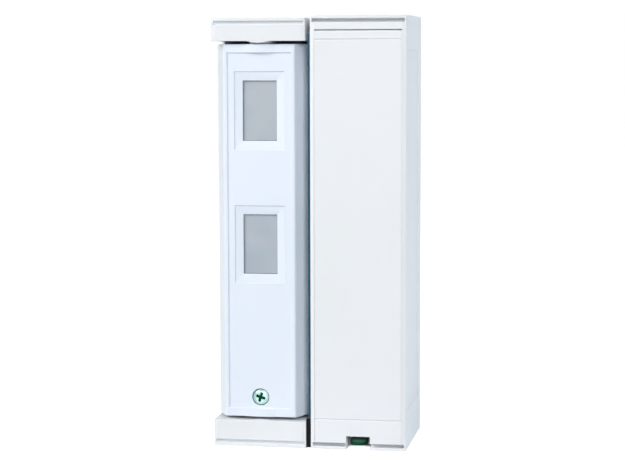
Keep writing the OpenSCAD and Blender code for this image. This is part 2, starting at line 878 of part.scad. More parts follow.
// Screw terminal block with its wire holes facing down, its back at depth 0
module terminal_block(ways) {
    w = ways * term_pitch;
    difference() {
        block(w, -term_d, 0, -term_h / 2, term_h / 2);
        for (i = [1:ways]) translate([(i - (ways + 1) / 2) * term_pitch, 0, 0]) {
            translate([0, -term_d / 2, -term_h / 2 - cut]) cylinder(r = term_hole_r, h = term_h / 2);
            translate([0, -term_d - cut, term_h / 4]) rotate([-90, 0, 0])
                cylinder(r = term_hole_r, h = term_d / 2);
        }
    }
}

module head_terminal_block() {
    color(c_board) at_det() translate([0, head_board_d, term_z]) terminal_block(term_ways);
}

module status_led() {
    color(c_lamp) at_det() translate([led_x, head_board_d, led_z]) rotate([90, 0, 0]) {
        cylinder(r = led_r, h = led_h - led_r);
        translate([0, 0, led_h - led_r]) sphere(r = led_r);
    }
}

module head_cover_screw() {
    seat = head_front_d + panel_recess + counterbore_d;
    color(c_steel) at_det() translate([0, seat, head_screw_z]) rotate([-90, 0, 0])
        pan_screw(head_pan_r, head_pan_h, head_thread_r, head_split_d + head_thread_len - seat - cut);
}

module box_tray() {
    color(c_white) at_box() difference() {
        union() {
            difference() {
                linear_extrude(unit_h) front_bevel(box_w, body_d);
                block(box_in, -cut, body_d - wall, floor_t, unit_h - top_wall);
            }
            block(box_in, 0, bar_d, bar_z0, unit_h - top_wall);
            block(box_in, slot_d, bar_d, floor_t, notch_h + tab_t);
            tray_ledge();
            tray_lug();
            tray_posts();
            translate([tamper_x, 0, 0])
                block(box_in - 2 * tamper_x, ledge_d1 - shelf_t, tamper_d0 + tamper_len,
                    tamper_z - shelf_t, tamper_z);
        }
        block(box_w - 2 * slot_end, -cut, slot_d, rim_t, slot_top);
        block(box_in, -cut, slot_d, rim_t, slot_top + cut);
        block(box_w - 2 * slot_end, -cut, slot_d, unit_h - slot_top, unit_h - rim_t);
        block(notch_w, -cut, notch_d, -cut, notch_h);
        block(notch_w, -cut, notch_d, notch_h - cut, lug_z0);
        translate([0, lock_d, notch_h])
            cylinder(r = lock_shank_r + run_fit, h = lug_z1 - notch_h - wall / 2);
        for (s = [-1, 1]) translate([s * (box_w / 2), 0, 0])
            block(2 * side_panel_cut, side_panel_d, body_d + cut, side_panel_z0, side_panel_z1);
        for (z = unit_screw_zs()) translate([0, body_d + cut, z]) rotate([90, 0, 0])
            cylinder(r = thread_r + run_fit, h = wall + 2 * cut);
        translate([-box_w / 2 - cut, link_d, link_z]) rotate([0, 90, 0])
            cylinder(r = link_r + run_fit, h = box_wall + 2 * cut);
        for (s = [-1, 1]) for (z = tx_screw_zs())
            translate([s * (tx_half - tx_inset), tx_d, z]) rotate([-90, 0, 0])
                cylinder(r = thread_r + run_fit, h = body_d - wall - tx_d);
    }
}

function tx_screw_zs() = [tx_z0 + tx_inset, tx_z1 - tx_inset];

// Frame inside the tray that carries the seal
module tray_ledge() {
    difference() {
        block(box_in, ledge_d0, ledge_d1, ledge_z0, ledge_z1);
        block(box_in - 2 * ledge_w, ledge_d0 - cut, ledge_d1 + cut, ledge_z0 + ledge_w, ledge_z1 - ledge_w);
    }
}

// Closed pocket round the lock screw with the threaded lug above it
module tray_lug() {
    block(notch_w + 2 * lug_wall, slot_d, notch_d + lug_wall, floor_t / 2, lug_z1);
}

module tray_posts() {
    for (s = [-1, 1]) for (z = tx_screw_zs())
        translate([s * (tx_half - tx_inset), tx_d + board_t, z]) rotate([-90, 0, 0])
            cylinder(r = boss_r, h = body_d - wall - tx_d - board_t);
}

module box_cover() {
    rib_w = cover_w - 2 * seat_gap * 3;
    color(c_white) at_box() difference() {
        union() {
            block(cover_w, 0, cover_t, cover_z0, cover_z1 - cover_edge_r);
            block(cover_w, cover_edge_r, cover_t, cover_z1 - 2 * cover_edge_r, cover_z1);
            translate([-cover_w / 2, cover_edge_r, cover_z1 - cover_edge_r]) rotate([0, 90, 0])
                cylinder(r = cover_edge_r, h = cover_w);
            difference() {
                block(rib_w, cover_t - cut, rib_end_d, ledge_z0, ledge_z1);
                block(rib_w - 2 * rib_t, cover_t - 2 * cut, rib_end_d + cut,
                    ledge_z0 + rib_t, ledge_z1 - rib_t);
            }
            for (s = [-1, 1]) translate([s * hook_x, 0, 0]) {
                block(hook_w, cover_t - cut, hook_d + hook_t, cover_z1 - 2 * hook_t, cover_z1 - hook_t);
                block(hook_w, hook_d, hook_d + hook_t, cover_z1 - 2 * hook_t, bar_z0 + hook_rise);
            }
            difference() {
                block(2 * tab_half, cover_t - cut, tab_end_d, notch_h, notch_h + tab_t);
                translate([0, lock_d, notch_h - cut]) cylinder(r = tab_slot / 2, h = tab_t + 2 * cut);
                block(tab_slot, lock_d, tab_end_d + cut, notch_h - cut, notch_h + tab_t + cut);
            }
        }
        block(notch_w, -cut, cover_t + cut, cover_z0 - cut, notch_h);
        block(cover_w + cut, -cut, line_d, cover_z1 - line_top - line_w / 2,
            cover_z1 - line_top + line_w / 2);
        block(cover_w + cut, -cut, line_d, cover_z0 + line_bottom - line_w / 2,
            cover_z0 + line_bottom + line_w / 2);
    }
}

module box_gasket() {
    color(c_rubber) at_box() difference() {
        block(box_in, ledge_d0 - box_gasket_t, ledge_d0, ledge_z0, ledge_z1);
        block(box_in - 2 * ledge_w, ledge_d0 - box_gasket_t - cut, ledge_d0 + cut,
            ledge_z0 + ledge_w, ledge_z1 - ledge_w);
    }
}

// Lock screw in the notch, driven from below
module cover_lock_screw() {
    color(c_steel) at_box() translate([0, lock_d, lock_head_z]) difference() {
        union() {
            cylinder(r = lock_head_r, h = lock_head_h);
            cylinder(r = lock_shank_r, h = lug_z1 - lock_head_z - wall);
        }
        translate([0, 0, lock_head_h]) cross_recess(lock_head_r, lock_head_h);
    }
}

function cell_x(s) = s * (cell_r + cell_gap / 2);

module battery_holder() {
    color(c_black) at_box() difference() {
        block(holder_w, holder_back - holder_d + holder_floor, holder_back, holder_z0, holder_z0 + holder_h);
        block(holder_w - 2 * holder_wall, holder_back - holder_d, holder_back - holder_floor,
            holder_z0 + holder_wall, holder_z0 + holder_h - holder_wall);
        translate([0, holder_back - pan_h - seat_gap * 2, unit_screw_inset]) rotate([-90, 0, 0])
            cylinder(r = pan_r + seat_gap * 3, h = pan_h + cut);
    }
}

module battery_cells() {
    color(c_cell) at_box() for (s = [-1, 1])
        translate([cell_x(s), cell_d, cell_z0]) {
            cylinder(r = cell_r, h = cell_len);
            translate([0, 0, cell_len]) cylinder(r = button_r, h = button_h);
        }
}

// Plate contacts at the top and spring contacts at the bottom
module battery_contacts() {
    plate_half = cell_r * contact_shares[0];
    color(c_brass) at_box() for (s = [-1, 1]) {
        translate([cell_x(s), 0, 0]) {
            block(2 * plate_half, cell_d - plate_half, cell_d + plate_half,
                cell_z0 + cell_len + button_h, cell_z0 + cell_len + button_h + contact_t);
            block(2 * plate_half, cell_d - plate_half, cell_d + plate_half,
                cell_z0 - spring_len - contact_t, cell_z0 - spring_len);
            translate([0, cell_d, cell_z0 - spring_len])
                cylinder(r1 = cell_r * contact_shares[1], r2 = cell_r * contact_shares[2], h = spring_len);
        }
    }
}

module transmitter_board() {
    color(c_board) at_box() difference() {
        block(2 * tx_half, tx_d, tx_d + board_t, tx_z0, tx_z1);
        for (s = [-1, 1]) for (z = tx_screw_zs())
            translate([s * (tx_half - tx_inset), tx_d - cut, z]) rotate([-90, 0, 0])
                cylinder(r = thread_r + run_fit, h = board_t + 2 * cut);
    }
}

// Shielded radio can, controller chip and relay
module transmitter_parts() {
    can_z0 = tx_z0 + tx_h * can_shares[1];
    chip_z0 = tx_z0 + tx_h * chip_shares[1];
    color(c_steel) at_box() {
        translate([tx_half * can_shares[0], 0, 0])
            block(can_w, tx_d - can_t, tx_d, can_z0, tx_z1 - tx_inset - pan_r - part_gap);
        translate([tx_half * chip_shares[0], 0, 0])
            block(chip_w, tx_d - chip_t, tx_d, chip_z0, chip_z0 + chip_w);
        translate([tx_half * relay_shares[0], 0, 0])
            block(relay_w, tx_d - relay_t, tx_d,
                  tx_z0 + tx_h * relay_shares[1], tx_z0 + tx_h * relay_shares[2]);
    }
}

// Whip with a loading coil, standing on the board
module antenna() {
    color(c_brass) at_box() translate([tx_half - antenna_coil_r, tx_d - antenna_coil_r, 0]) {
        translate([0, 0, tx_z1 - antenna_len]) cylinder(r = antenna_coil_r, h = antenna_len / 2);
        translate([0, 0, tx_z1 - antenna_len]) cylinder(r = antenna_r, h = antenna_len);
    }
}

module box_terminal_block() {
    color(c_board) at_box() translate([tx_half * term_x_share, tx_d, tx_z0 + term_h / 2 + boss_r * 3])
        terminal_block(dip_count);
}

module box_board_screws() {
    color(c_steel) at_box() for (s = [-1, 1]) for (z = tx_screw_zs())
        translate([s * (tx_half - tx_inset), tx_d, z]) rotate([-90, 0, 0])
            pan_screw(pan_r, pan_h, thread_r, body_d - wall - tx_d - thread_clear);
}

module tamper_switch() {
    color(c_black) at_box() translate([tamper_x, 0, 0]) difference() {
        block(tamper_w, tamper_d0, tamper_d0 + tamper_len, tamper_z, tamper_z + tamper_h);
        translate([0, tamper_d0 - cut, tamper_z + tamper_h / 2]) rotate([-90, 0, 0])
            cylinder(r = plunger_r + run_fit, h = plunger_in + plunger_travel + pass_gap + cut);
    }
}

module tamper_plunger() {
    start_d = cover_t + pass_gap;
    color(c_steel) at_box() translate([tamper_x, start_d, tamper_z + tamper_h / 2]) rotate([-90, 0, 0])
        cylinder(r = plunger_r, h = tamper_d0 + plunger_in - start_d);
}

mounting_plate();
unit_screws();
entry_grommet();
detector_base();
top_end_cap();
bottom_end_cap();
end_cap_screws();
pivot_bushes();
link_sleeve();
head_rear_shell();
head_front_cover();
upper_lens();
lower_lens();
head_gasket();
head_board();
head_board_screws();
upper_pir_sensor();
lower_pir_sensor();
upper_optic_chamber();
lower_optic_chamber();
dip_switch();
dip_lever_1();
dip_lever_2();
dip_lever_3();
head_terminal_block();
status_led();
head_cover_screw();
box_tray();
box_cover();
box_gasket();
cover_lock_screw();
battery_holder();
battery_cells();
battery_contacts();
transmitter_board();
transmitter_parts();
antenna();
box_terminal_block();
box_board_screws();
tamper_switch();
tamper_plunger();
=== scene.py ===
# %% [markdown]
# # A wireless outdoor motion detector
# The product is two slim white units side by side on one wall plate. The left unit is the detector:
# a head with two lens windows that turns between two end caps. The right unit is a box for the
# batteries and the transmitter, with a long cover held by a hook at its top and a screw at its foot.
# The construction is already fixed, so this file only adds looks: finishes, soft edges, real screws,
# springs and the small parts on the boards. Loading the frame comes first, because every later piece
# takes its place from it.

# %% Load the frame
import json
import math
import random
import bmesh
import bpy
from mathutils import Matrix, Vector

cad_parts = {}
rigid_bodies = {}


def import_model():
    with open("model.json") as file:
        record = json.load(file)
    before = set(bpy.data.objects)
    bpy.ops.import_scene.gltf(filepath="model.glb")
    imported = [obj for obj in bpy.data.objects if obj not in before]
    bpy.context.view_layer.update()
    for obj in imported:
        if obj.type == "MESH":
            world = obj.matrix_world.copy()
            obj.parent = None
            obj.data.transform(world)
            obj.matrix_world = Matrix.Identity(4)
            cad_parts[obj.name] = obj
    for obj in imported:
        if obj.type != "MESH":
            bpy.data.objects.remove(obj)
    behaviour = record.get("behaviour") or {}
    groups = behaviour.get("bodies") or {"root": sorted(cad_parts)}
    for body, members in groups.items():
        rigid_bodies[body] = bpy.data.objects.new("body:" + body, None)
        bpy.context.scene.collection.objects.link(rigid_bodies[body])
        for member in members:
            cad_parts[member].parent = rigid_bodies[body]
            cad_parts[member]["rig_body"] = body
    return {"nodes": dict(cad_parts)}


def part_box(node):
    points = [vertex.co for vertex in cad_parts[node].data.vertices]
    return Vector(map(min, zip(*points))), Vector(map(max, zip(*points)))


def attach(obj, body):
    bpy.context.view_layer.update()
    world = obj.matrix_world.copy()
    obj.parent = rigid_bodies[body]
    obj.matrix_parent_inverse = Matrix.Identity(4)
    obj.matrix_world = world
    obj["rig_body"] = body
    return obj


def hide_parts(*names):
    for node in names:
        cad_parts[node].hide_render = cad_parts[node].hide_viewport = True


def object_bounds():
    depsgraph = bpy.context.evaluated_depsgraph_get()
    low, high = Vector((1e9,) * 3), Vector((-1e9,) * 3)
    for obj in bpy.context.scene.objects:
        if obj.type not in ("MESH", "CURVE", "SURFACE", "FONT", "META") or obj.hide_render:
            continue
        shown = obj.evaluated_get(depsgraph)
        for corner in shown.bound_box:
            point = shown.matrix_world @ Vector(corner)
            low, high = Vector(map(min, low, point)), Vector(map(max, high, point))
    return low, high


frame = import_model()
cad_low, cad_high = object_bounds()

bpy.context.scene.view_settings.view_transform = "Standard"

# %% [markdown]
# ## Units and three small helpers
# Blender counts in metres and drawings of such products count in millimetres, so one function turns
# one into the other. Colours are noted as the usual six hex digits, which are display values, and
# the renderer wants linear light, so a second function converts them. A third adds a shader node
# with its settings and links in one call, which keeps each material short enough to read.


# %% Millimetres, colours and nodes
def mm(length):
    """A length in millimetres as metres."""
    return length / 1000


def linear(hex_code, alpha=1.0):
    """An sRGB hex colour as linear light."""
    parts = [int(hex_code[i:i + 2], 16) / 255 for i in (1, 3, 5)]
    toe, slope, lift, power = 0.04045, 12.92, 0.055, 2.4
    light = [v / slope if v <= toe else ((v + lift) / (1 + lift)) ** power for v in parts]
    return (*light, alpha)


def add(tree, kind, inputs=None, **settings):
    """Adds a node, sets its properties, and fills each input with a value, a link or a list of links."""
    node = tree.nodes.new(kind)
    for name, value in settings.items():
        setattr(node, name, value)
    for name, value in (inputs or {}).items():
        links = value if isinstance(value, list) else [value]
        if isinstance(links[0], bpy.types.NodeSocket):
            for link in links:
                tree.links.new(link, node.inputs[name])
        else:
            node.inputs[name].default_value = value
    return node


print("a mid grey of #808080 is", round(linear("#808080")[0], 3), "in linear light")

# %% [markdown]
# ## The camera
# The photograph was taken with a long lens from a little to the right and a little above. Its place
# was worked out from the edges that run away to the back: the right side of the box shows, and the
# upper faces of the low parts show a little. The camera is turned about its own line of sight by
# about a sixth of a degree, because the product leans by that much in the picture.

# %% Camera
eye_mm = Vector((150.6, -863.6, 181.4))
yaw_deg, pitch_deg, roll_deg = 10.087, -5.480, -0.16
focal_px, picture_width_px = 1856.0, 625
film_mm = 36
nearest_m, farthest_m = 0.02, 20

yaw, pitch, roll = (math.radians(a) for a in (yaw_deg, pitch_deg, roll_deg))
ahead = Vector((-math.sin(yaw) * math.cos(pitch), math.cos(yaw) * math.cos(pitch), math.sin(pitch)))
level = Vector((math.cos(yaw), math.sin(yaw), 0))
upright = level.cross(ahead)
right = level * math.cos(roll) + upright * math.sin(roll)
up = -level * math.sin(roll) + upright * math.cos(roll)

camera = bpy.data.objects.new("camera", bpy.data.cameras.new("camera"))
bpy.context.scene.collection.objects.link(camera)
aim = Matrix((right, up, -ahead)).transposed().to_4x4()
camera.matrix_world = Matrix.Translation(eye_mm / 1000) @ aim
camera.data.sensor_fit = "HORIZONTAL"
camera.data.sensor_width = film_mm
camera.data.lens = focal_px * film_mm / picture_width_px
camera.data.clip_start, camera.data.clip_end = nearest_m, farthest_m
bpy.context.scene.camera = camera
print("lens", round(camera.data.lens, 1), "mm")

# %% [markdown]
# ## Light from the room
# The photograph has a plain white background, and some light comes from all around. A picture of a
# studio could give both, but two plain backgrounds are simpler and the same in every render. What the
# camera and mirror like surfaces see of the surroundings is plain white. What lights the product is
# weaker, so nothing burns out, and a little bluer at the right. The floor needs the same split, so one
# function tells the two kinds of ray apart for both.


# %% World
def seen_directly(tree):
    """Is 1 for rays from the camera, a mirror like surface or clear plastic, and 0 for other light."""
    path = add(tree, "ShaderNodeLightPath")
    seen = path.outputs["Is Camera Ray"]
    for kind in ("Is Glossy Ray", "Is Transmission Ray"):
        wider = add(tree, "ShaderNodeMath", {0: seen, 1: path.outputs[kind]}, operation="MAXIMUM")
        seen = wider.outputs[0]
    return seen


world = bpy.data.worlds.new("studio")
bpy.context.scene.world = world
world.use_nodes = True
world_tree = world.node_tree
world_tree.nodes.clear()
room_strength = 0.12
heading = add(world_tree, "ShaderNodeTexCoord")
heading_parts = add(world_tree, "ShaderNodeSeparateXYZ", {"Vector": heading.outputs["Generated"]})
side_blend = add(world_tree, "ShaderNodeMapRange", {
    "Value": heading_parts.outputs["X"], "From Min": -0.6, "From Max": 0.8})
room_colour = add(world_tree, "ShaderNodeMix", {
    "Factor": side_blend.outputs["Result"], "A": linear("#f6f6f8"), "B": linear("#dfeaf4")},
    data_type="RGBA")
lighting = add(world_tree, "ShaderNodeBackground", {
    "Color": room_colour.outputs["Result"], "Strength": room_strength})
backdrop = add(world_tree, "ShaderNodeBackground", {"Color": (1, 1, 1, 1), "Strength": 1.0})
either = add(world_tree, "ShaderNodeMixShader", {
    0: seen_directly(world_tree), 1: lighting.outputs["Background"], 2: backdrop.outputs["Background"]})
add(world_tree, "ShaderNodeOutputWorld", {"Surface": either.outputs["Shader"]})
print("room light", room_strength)

# %% [markdown]
# ### Lamps
# White plastic shows its shape only through small steps of grey, so the light has to differ from
# side to side. A big soft lamp stands at the upper left, as in the picture, where the faces that
# look left and up are the brightest. A second one stands high in front, a little to the right, and
# lights the slanted flank of the head. A third, slightly blue, stands at the right for the side of
# the box. They are area lamps, because the size of such a lamp sets how soft its shadows are.


# %% Lamps
def lamp(name, place_mm, width_mm, brightness, hex_code):
    """A square soft lamp that faces the product. At brightness 1 it lights a white card to white."""
    middle = (cad_low + cad_high) / 2
    place = Vector(place_mm) / 1000
    light = bpy.data.lights.new(name, "AREA")
    light.size = mm(width_mm)
    light.energy = math.pi ** 2 * brightness * (place - middle).length_squared
    light.color = linear(hex_code)[:3]
    obj = bpy.data.objects.new(name, light)
    obj.matrix_world = (Matrix.Translation(place)
                        @ (middle - place).to_track_quat("-Z", "Y").to_matrix().to_4x4())
    bpy.context.scene.collection.objects.link(obj)
    return obj


lamps = [
    lamp("key_lamp", (-2150, -1650, 2150), 900, 0.71, "#fffefb"),
    lamp("front_lamp", (1050, -2500, 1300), 800, 0.485, "#f5f8ff"),
    lamp("side_lamp", (2030, 620, 300), 700, 0.42, "#dbeaf6"),
]
print(len(lamps), "lamps")

# %% [markdown]
# ## The floor
# The product stands on a white sheet, and only a faint shadow shows under it. A floor that is bright
# enough to read as white would also throw too much light up at the product. So the floor glows
# only towards the camera and mirror like surfaces, and is plain pale paint for all other light. Its
# paint still takes the shadow.

# %% Floor
floor_half = mm(2000)
floor_mesh = bpy.data.meshes.new("floor")
floor_mesh.from_pydata([(-floor_half, -floor_half, 0), (floor_half, -floor_half, 0),
                        (floor_half, floor_half, 0), (-floor_half, floor_half, 0)], [], [(0, 1, 2, 3)])
floor = bpy.data.objects.new("floor", floor_mesh)
bpy.context.scene.collection.objects.link(floor)

paint = bpy.data.materials.new("Matt white studio paint")
paint.use_nodes = True
paint_tree = paint.node_tree
paint_tree.nodes.clear()
glow_strength, paint_shade = 0.84, "#d6d7d8"
matt = add(paint_tree, "ShaderNodeBsdfDiffuse", {"Color": linear(paint_shade)})
glow = add(paint_tree, "ShaderNodeEmission", {"Color": (1, 1, 1, 1), "Strength": glow_strength})
lit = add(paint_tree, "ShaderNodeAddShader", {0: matt.outputs[0], 1: glow.outputs[0]})
either = add(paint_tree, "ShaderNodeMixShader", {
    0: seen_directly(paint_tree), 1: matt.outputs[0], 2: lit.outputs[0]})
add(paint_tree, "ShaderNodeOutputMaterial", {"Surface": either.outputs[0]})
floor_mesh.materials.append(paint)
print("floor", round(2 * floor_half, 1), "m wide")

# %% [markdown]
# ## Finishes
# Nearly everything that shows is injection moulded plastic. What makes it look moulded and not
# painted is a fine spark eroded grain that breaks up the highlight, a gloss that changes slightly from
# place to place, and a very small drift of shade where the melt cooled at different speeds. One
# function makes that for every plastic here, and each plastic has its own shade, gloss and grain.
# Patterns use the object's own coordinates in metres, so a grain of so many millimetres stays so.


# %% A fresh material
def fresh(name):
    """An empty material with a Principled shader wired to its output."""
    material = bpy.data.materials.new(name)
    material.use_nodes = True
    tree = material.node_tree
    tree.nodes.clear()
    shader = add(tree, "ShaderNodeBsdfPrincipled")
    add(tree, "ShaderNodeOutputMaterial", {"Surface": shader.outputs["BSDF"]})
    return material, tree, shader


def fill(shader, **values):
    """Sets uniform values on the shader's own sockets, named with underscores for spaces."""
    for name, value in values.items():
        shader.inputs[name.replace("_", " ")].default_value = value


# %% [markdown]
# ### Grain, drift and gloss
# Grain is a bump from fine noise. The real grain is about a tenth of a millimetre, which is finer
# than a pixel here, so it is drawn six times as coarse. Drift is a slow noise between two close
# shades. Gloss is the same fine noise, spread over a small range of roughness.


# %% Shared plastic finish
def drift(tree, shader, shades, patch_mm, band=(0.3, 0.7), detail=2.0, mottle=0.4):
    """Base colour that wanders slowly between two close shades. The band is where it changes."""
    place = add(tree, "ShaderNodeTexCoord")
    cloud = add(tree, "ShaderNodeTexNoise", {
        "Vector": place.outputs["Object"], "Scale": 1 / mm(patch_mm), "Detail": detail,
        "Roughness": mottle})
    ramp = add(tree, "ShaderNodeValToRGB", {"Fac": cloud.outputs["Fac"]})
    for stop, share, tone in zip(ramp.color_ramp.elements, band, shades):
        stop.position, stop.color = share, linear(tone)
    tree.links.new(ramp.outputs["Color"], shader.inputs["Base Color"])
    return place


def grain(tree, shader, place, grain_mm, depth_mm, gloss_range):
    """Fine bump and the gloss that goes with it."""
    noise = add(tree, "ShaderNodeTexNoise", {
        "Vector": place.outputs["Object"], "Scale": 1 / mm(grain_mm), "Detail": 3.0, "Roughness": 0.55})
    gloss = add(tree, "ShaderNodeMapRange", {
        "Value": noise.outputs["Fac"], "To Min": gloss_range[0], "To Max": gloss_range[1]})
    bump = add(tree, "ShaderNodeBump", {
        "Height": noise.outputs["Fac"], "Strength": 0.6, "Distance": mm(depth_mm)})
    tree.links.new(gloss.outputs["Result"], shader.inputs["Roughness"])
    tree.links.new(bump.outputs["Normal"], shader.inputs["Normal"])


def moulded(name, shades, gloss_range, grain_mm=0.6, depth_mm=0.012, patch_mm=70, **values):
    """A moulded plastic or rubber with drift, grain and its own uniform values."""
    material, tree, shader = fresh(name)
    place = drift(tree, shader, shades, patch_mm)
    grain(tree, shader, place, grain_mm, depth_mm, gloss_range)
    fill(shader, **values)
    return material


# %% [markdown]
# ### The white and the bluish white
# The box, the caps, the base and the plate are moulded ABS: nearly neutral white with a soft sheen.
# The head is moulded in ASA, which stands up to the sun. It looks cooler in the photograph, with a
# clear blue tint. Both are a little translucent at thin edges, which a low subsurface weight gives.

# %% White plastics
abs_white = moulded("Moulded ABS, fine spark grain", ("#e3e6e7", "#e6e8eb"), (0.40, 0.52),
                    IOR=1.53, Subsurface_Weight=0.03, Subsurface_Scale=mm(0.6))
asa_white = moulded("Moulded ASA, satin", ("#dfe7f0", "#e4ebf4"), (0.30, 0.40),
                    IOR=1.52, Subsurface_Weight=0.03, Subsurface_Scale=mm(0.6))
print("white plastics", abs_white.name, "and", asa_white.name)

# %% [markdown]
# ### Lens film
# The windows are closed by thin milky polyethylene, which lets heat rays through and hides the optics.
# It is grey here because little light comes back from behind it. Clear plastic over a dark box could
# show that too, but it would need the inside to be right. So the grey is in the film itself, with more
# subsurface light than the shells have and a slow cloudy change of shade, as in the photograph.

# %% Lens film
lens_film, film_tree, film_shader = fresh("Milky polyethylene lens film")
film_place = drift(film_tree, film_shader, ("#a5afb8", "#b0b7bd"), 17, (0.38, 0.62), 1.0, 0.5)
grain(film_tree, film_shader, film_place, 0.5, 0.01, (0.34, 0.46))
fill(film_shader, IOR=1.51, Subsurface_Weight=0.15, Subsurface_Scale=mm(1.5))
print("film", lens_film.name)

# %% [markdown]
# ### Metals
# The screws are zinc plated steel with a green passivation. Two copies of it paint light and shade:
# a lighter one is painted light on the face screw and the inner edge of its ring, and a dark one is
# painted shade in the crosses and on the lock screw in its notch. The pivot bushes are stainless steel,
# whose turned surface is grey and fairly sharp. The contacts and the aerial are plated spring brass,
# which keeps a yellow tinge, and the sensor cans and the radio's shield are nickel plated, which is
# warmer than steel. A metal has its colour in its reflection, so the tint sits in the base colour with
# metallic at 1.


# %% Metals
def plated(name, shades, gloss_range, patch_mm=3.0, grain_mm=0.35):
    """A plated or turned metal with a mottled tint and a finely uneven gloss."""
    material, tree, shader = fresh(name)
    place = drift(tree, shader, shades, patch_mm)
    grain(tree, shader, place, grain_mm, 0.004, gloss_range)
    fill(shader, Metallic=1.0)
    return material


green_zinc = plated("Zinc plated steel, green passivated", ("#8fb5a0", "#c3dccd"), (0.22, 0.36))
# A lighter copy of the green zinc: painted light on the face screw and the inner edge of its ring.
lit_zinc_copy = plated("Zinc plated steel, lighter copy for painted light", ("#a9d0c9", "#cfe7e3"), (0.24, 0.38))
# A dark copy of the green zinc: painted shade in the crosses and on the lock screw in its notch.
shaded_zinc_copy = plated("Zinc plated steel, dark copy for painted shade", ("#04392a", "#0b4e3b"), (0.30, 0.44))
stainless = plated("Turned stainless steel", ("#b9bcbd", "#cfd1d2"), (0.20, 0.32))
spring_brass = plated("Plated spring brass", ("#c8b27c", "#d8c694"), (0.24, 0.36))
nickel = plated("Nickel plated can", ("#bdb9ae", "#d3d0c6"), (0.18, 0.30))
tin = plated("Tinned copper", ("#c9cbc8", "#dcdedb"), (0.28, 0.42))
print("metals ready")

# %% [markdown]
# ### Rubber, black plastic, sleeve and lamp
# Seals are moulded EPDM, dull and slightly dusty. The bar between the units is painted shade in dark
# teal, and the block below it is painted shade in black, so matt that it shows nearly black. The ring
# in the face screw's counterbore is painted shade in dark grey, and the cup in the lock screw's notch
# is painted shade in dark green. Switches and the battery holder are black nylon with glass fibre,
# whose surface is mottled. The cells wear a shrink sleeve that is glossy and plain here. The lamp is
# tinted epoxy that lets light through.

# %% Other plastics
# Also used for the thin dark lines round the lens films, where it is painted shade.
epdm_and_window_shade = moulded("Moulded EPDM rubber and painted window shade", ("#4d5154", "#5d6164"), (0.62, 0.78), patch_mm=9,
               depth_mm=0.02, IOR=1.50)
# Painted shade: the dark grey of the counterbore round the face screw.
counterbore_shade_grey = moulded("Grey painted counterbore shade", ("#3f4649", "#4c5457"), (0.50, 0.66), patch_mm=4,
                        depth_mm=0.01, IOR=1.50)
# Painted shade: the dark teal of the narrow gap between the units.
teal_gap_shade = moulded("Dark teal painted gap shade", ("#0e455a", "#145068"), (0.70, 0.84), patch_mm=6,
                      depth_mm=0.015, IOR=1.38)
# Painted shade: the black of the gap beside the lower cap.
black_gap_shade = moulded("Black painted gap shade", ("#05080a", "#0a0e11"), (0.84, 0.94), patch_mm=5,
                     depth_mm=0.03, IOR=1.30)
# Painted shade: the dark green in the notch round the lock screw.
notch_shade_green = moulded("Dark green painted notch shade", ("#05301f", "#083a29"), (0.50, 0.64), patch_mm=3,
                       depth_mm=0.01, IOR=1.52)
black_nylon = moulded("Black glass filled nylon", ("#232527", "#303336"), (0.38, 0.56), patch_mm=5,
                      depth_mm=0.02, IOR=1.53)
green_nylon = moulded("Green polyamide", ("#2f7a4e", "#3b8a5b"), (0.34, 0.46), patch_mm=6, IOR=1.53)
sleeve = moulded("PVC shrink sleeve", ("#3f6694", "#4a74a4"), (0.16, 0.24), patch_mm=14,
                 depth_mm=0.006, IOR=1.54)
red_epoxy = moulded("Red tinted epoxy", ("#c2281d", "#d2392c"), (0.08, 0.14), patch_mm=3,
                    depth_mm=0.003, IOR=1.55, Transmission_Weight=0.5)
ceramic = moulded("Barium titanate ceramic", ("#a98c69", "#bb9f7c"), (0.40, 0.54), patch_mm=5, IOR=1.60)
dark_filter = moulded("Coated silicon filter", ("#2a2630", "#38323f"), (0.10, 0.18), patch_mm=3,
                      depth_mm=0.002, IOR=1.90)
black_epoxy = moulded("Black epoxy package", ("#1d1e20", "#27292b"), (0.44, 0.60), patch_mm=4, IOR=1.55)
print("other plastics ready")

# %% [markdown]
# ### Circuit board
# A board is glass cloth under green solder mask. The copper under the mask shows as slightly lighter
# tracks. They run mostly along and across, so the joints of an uneven brick pattern on the board's own
# coordinates stand for them, and fine noise in the gloss stands for the weave. Real tracks are about a
# quarter of a millimetre wide, and they are drawn at twice that width so that they show.

# %% Solder mask
solder_mask, mask_tree, mask_shader = fresh("FR4 board with green solder mask")
mask_place = add(mask_tree, "ShaderNodeTexCoord")
mask_turn = add(mask_tree, "ShaderNodeMapping", {
    "Vector": mask_place.outputs["Object"], "Rotation": (math.radians(90), 0, 0)})
mask_cells = add(mask_tree, "ShaderNodeTexBrick", {
    "Vector": mask_turn.outputs["Vector"], "Scale": 1 / mm(8), "Mortar Size": 0.03,
    "Color1": linear("#1f5a38"), "Color2": linear("#24653f"), "Mortar": linear("#3f8a5c"),
    "Brick Width": 0.9, "Row Height": 0.35}, offset=0.37, squash=0.7, squash_frequency=3)
mask_tree.links.new(mask_cells.outputs["Color"], mask_shader.inputs["Base Color"])
grain(mask_tree, mask_shader, mask_place, 0.8, 0.01, (0.18, 0.30))
fill(mask_shader, IOR=1.52)
print("board", solder_mask.name)

# %% [markdown]
# ## Dressing the construction
# Every piece of the construction keeps its shape and gets the finish of the real piece. A table is
# the shortest way to say which is which, and it doubles as a parts list.

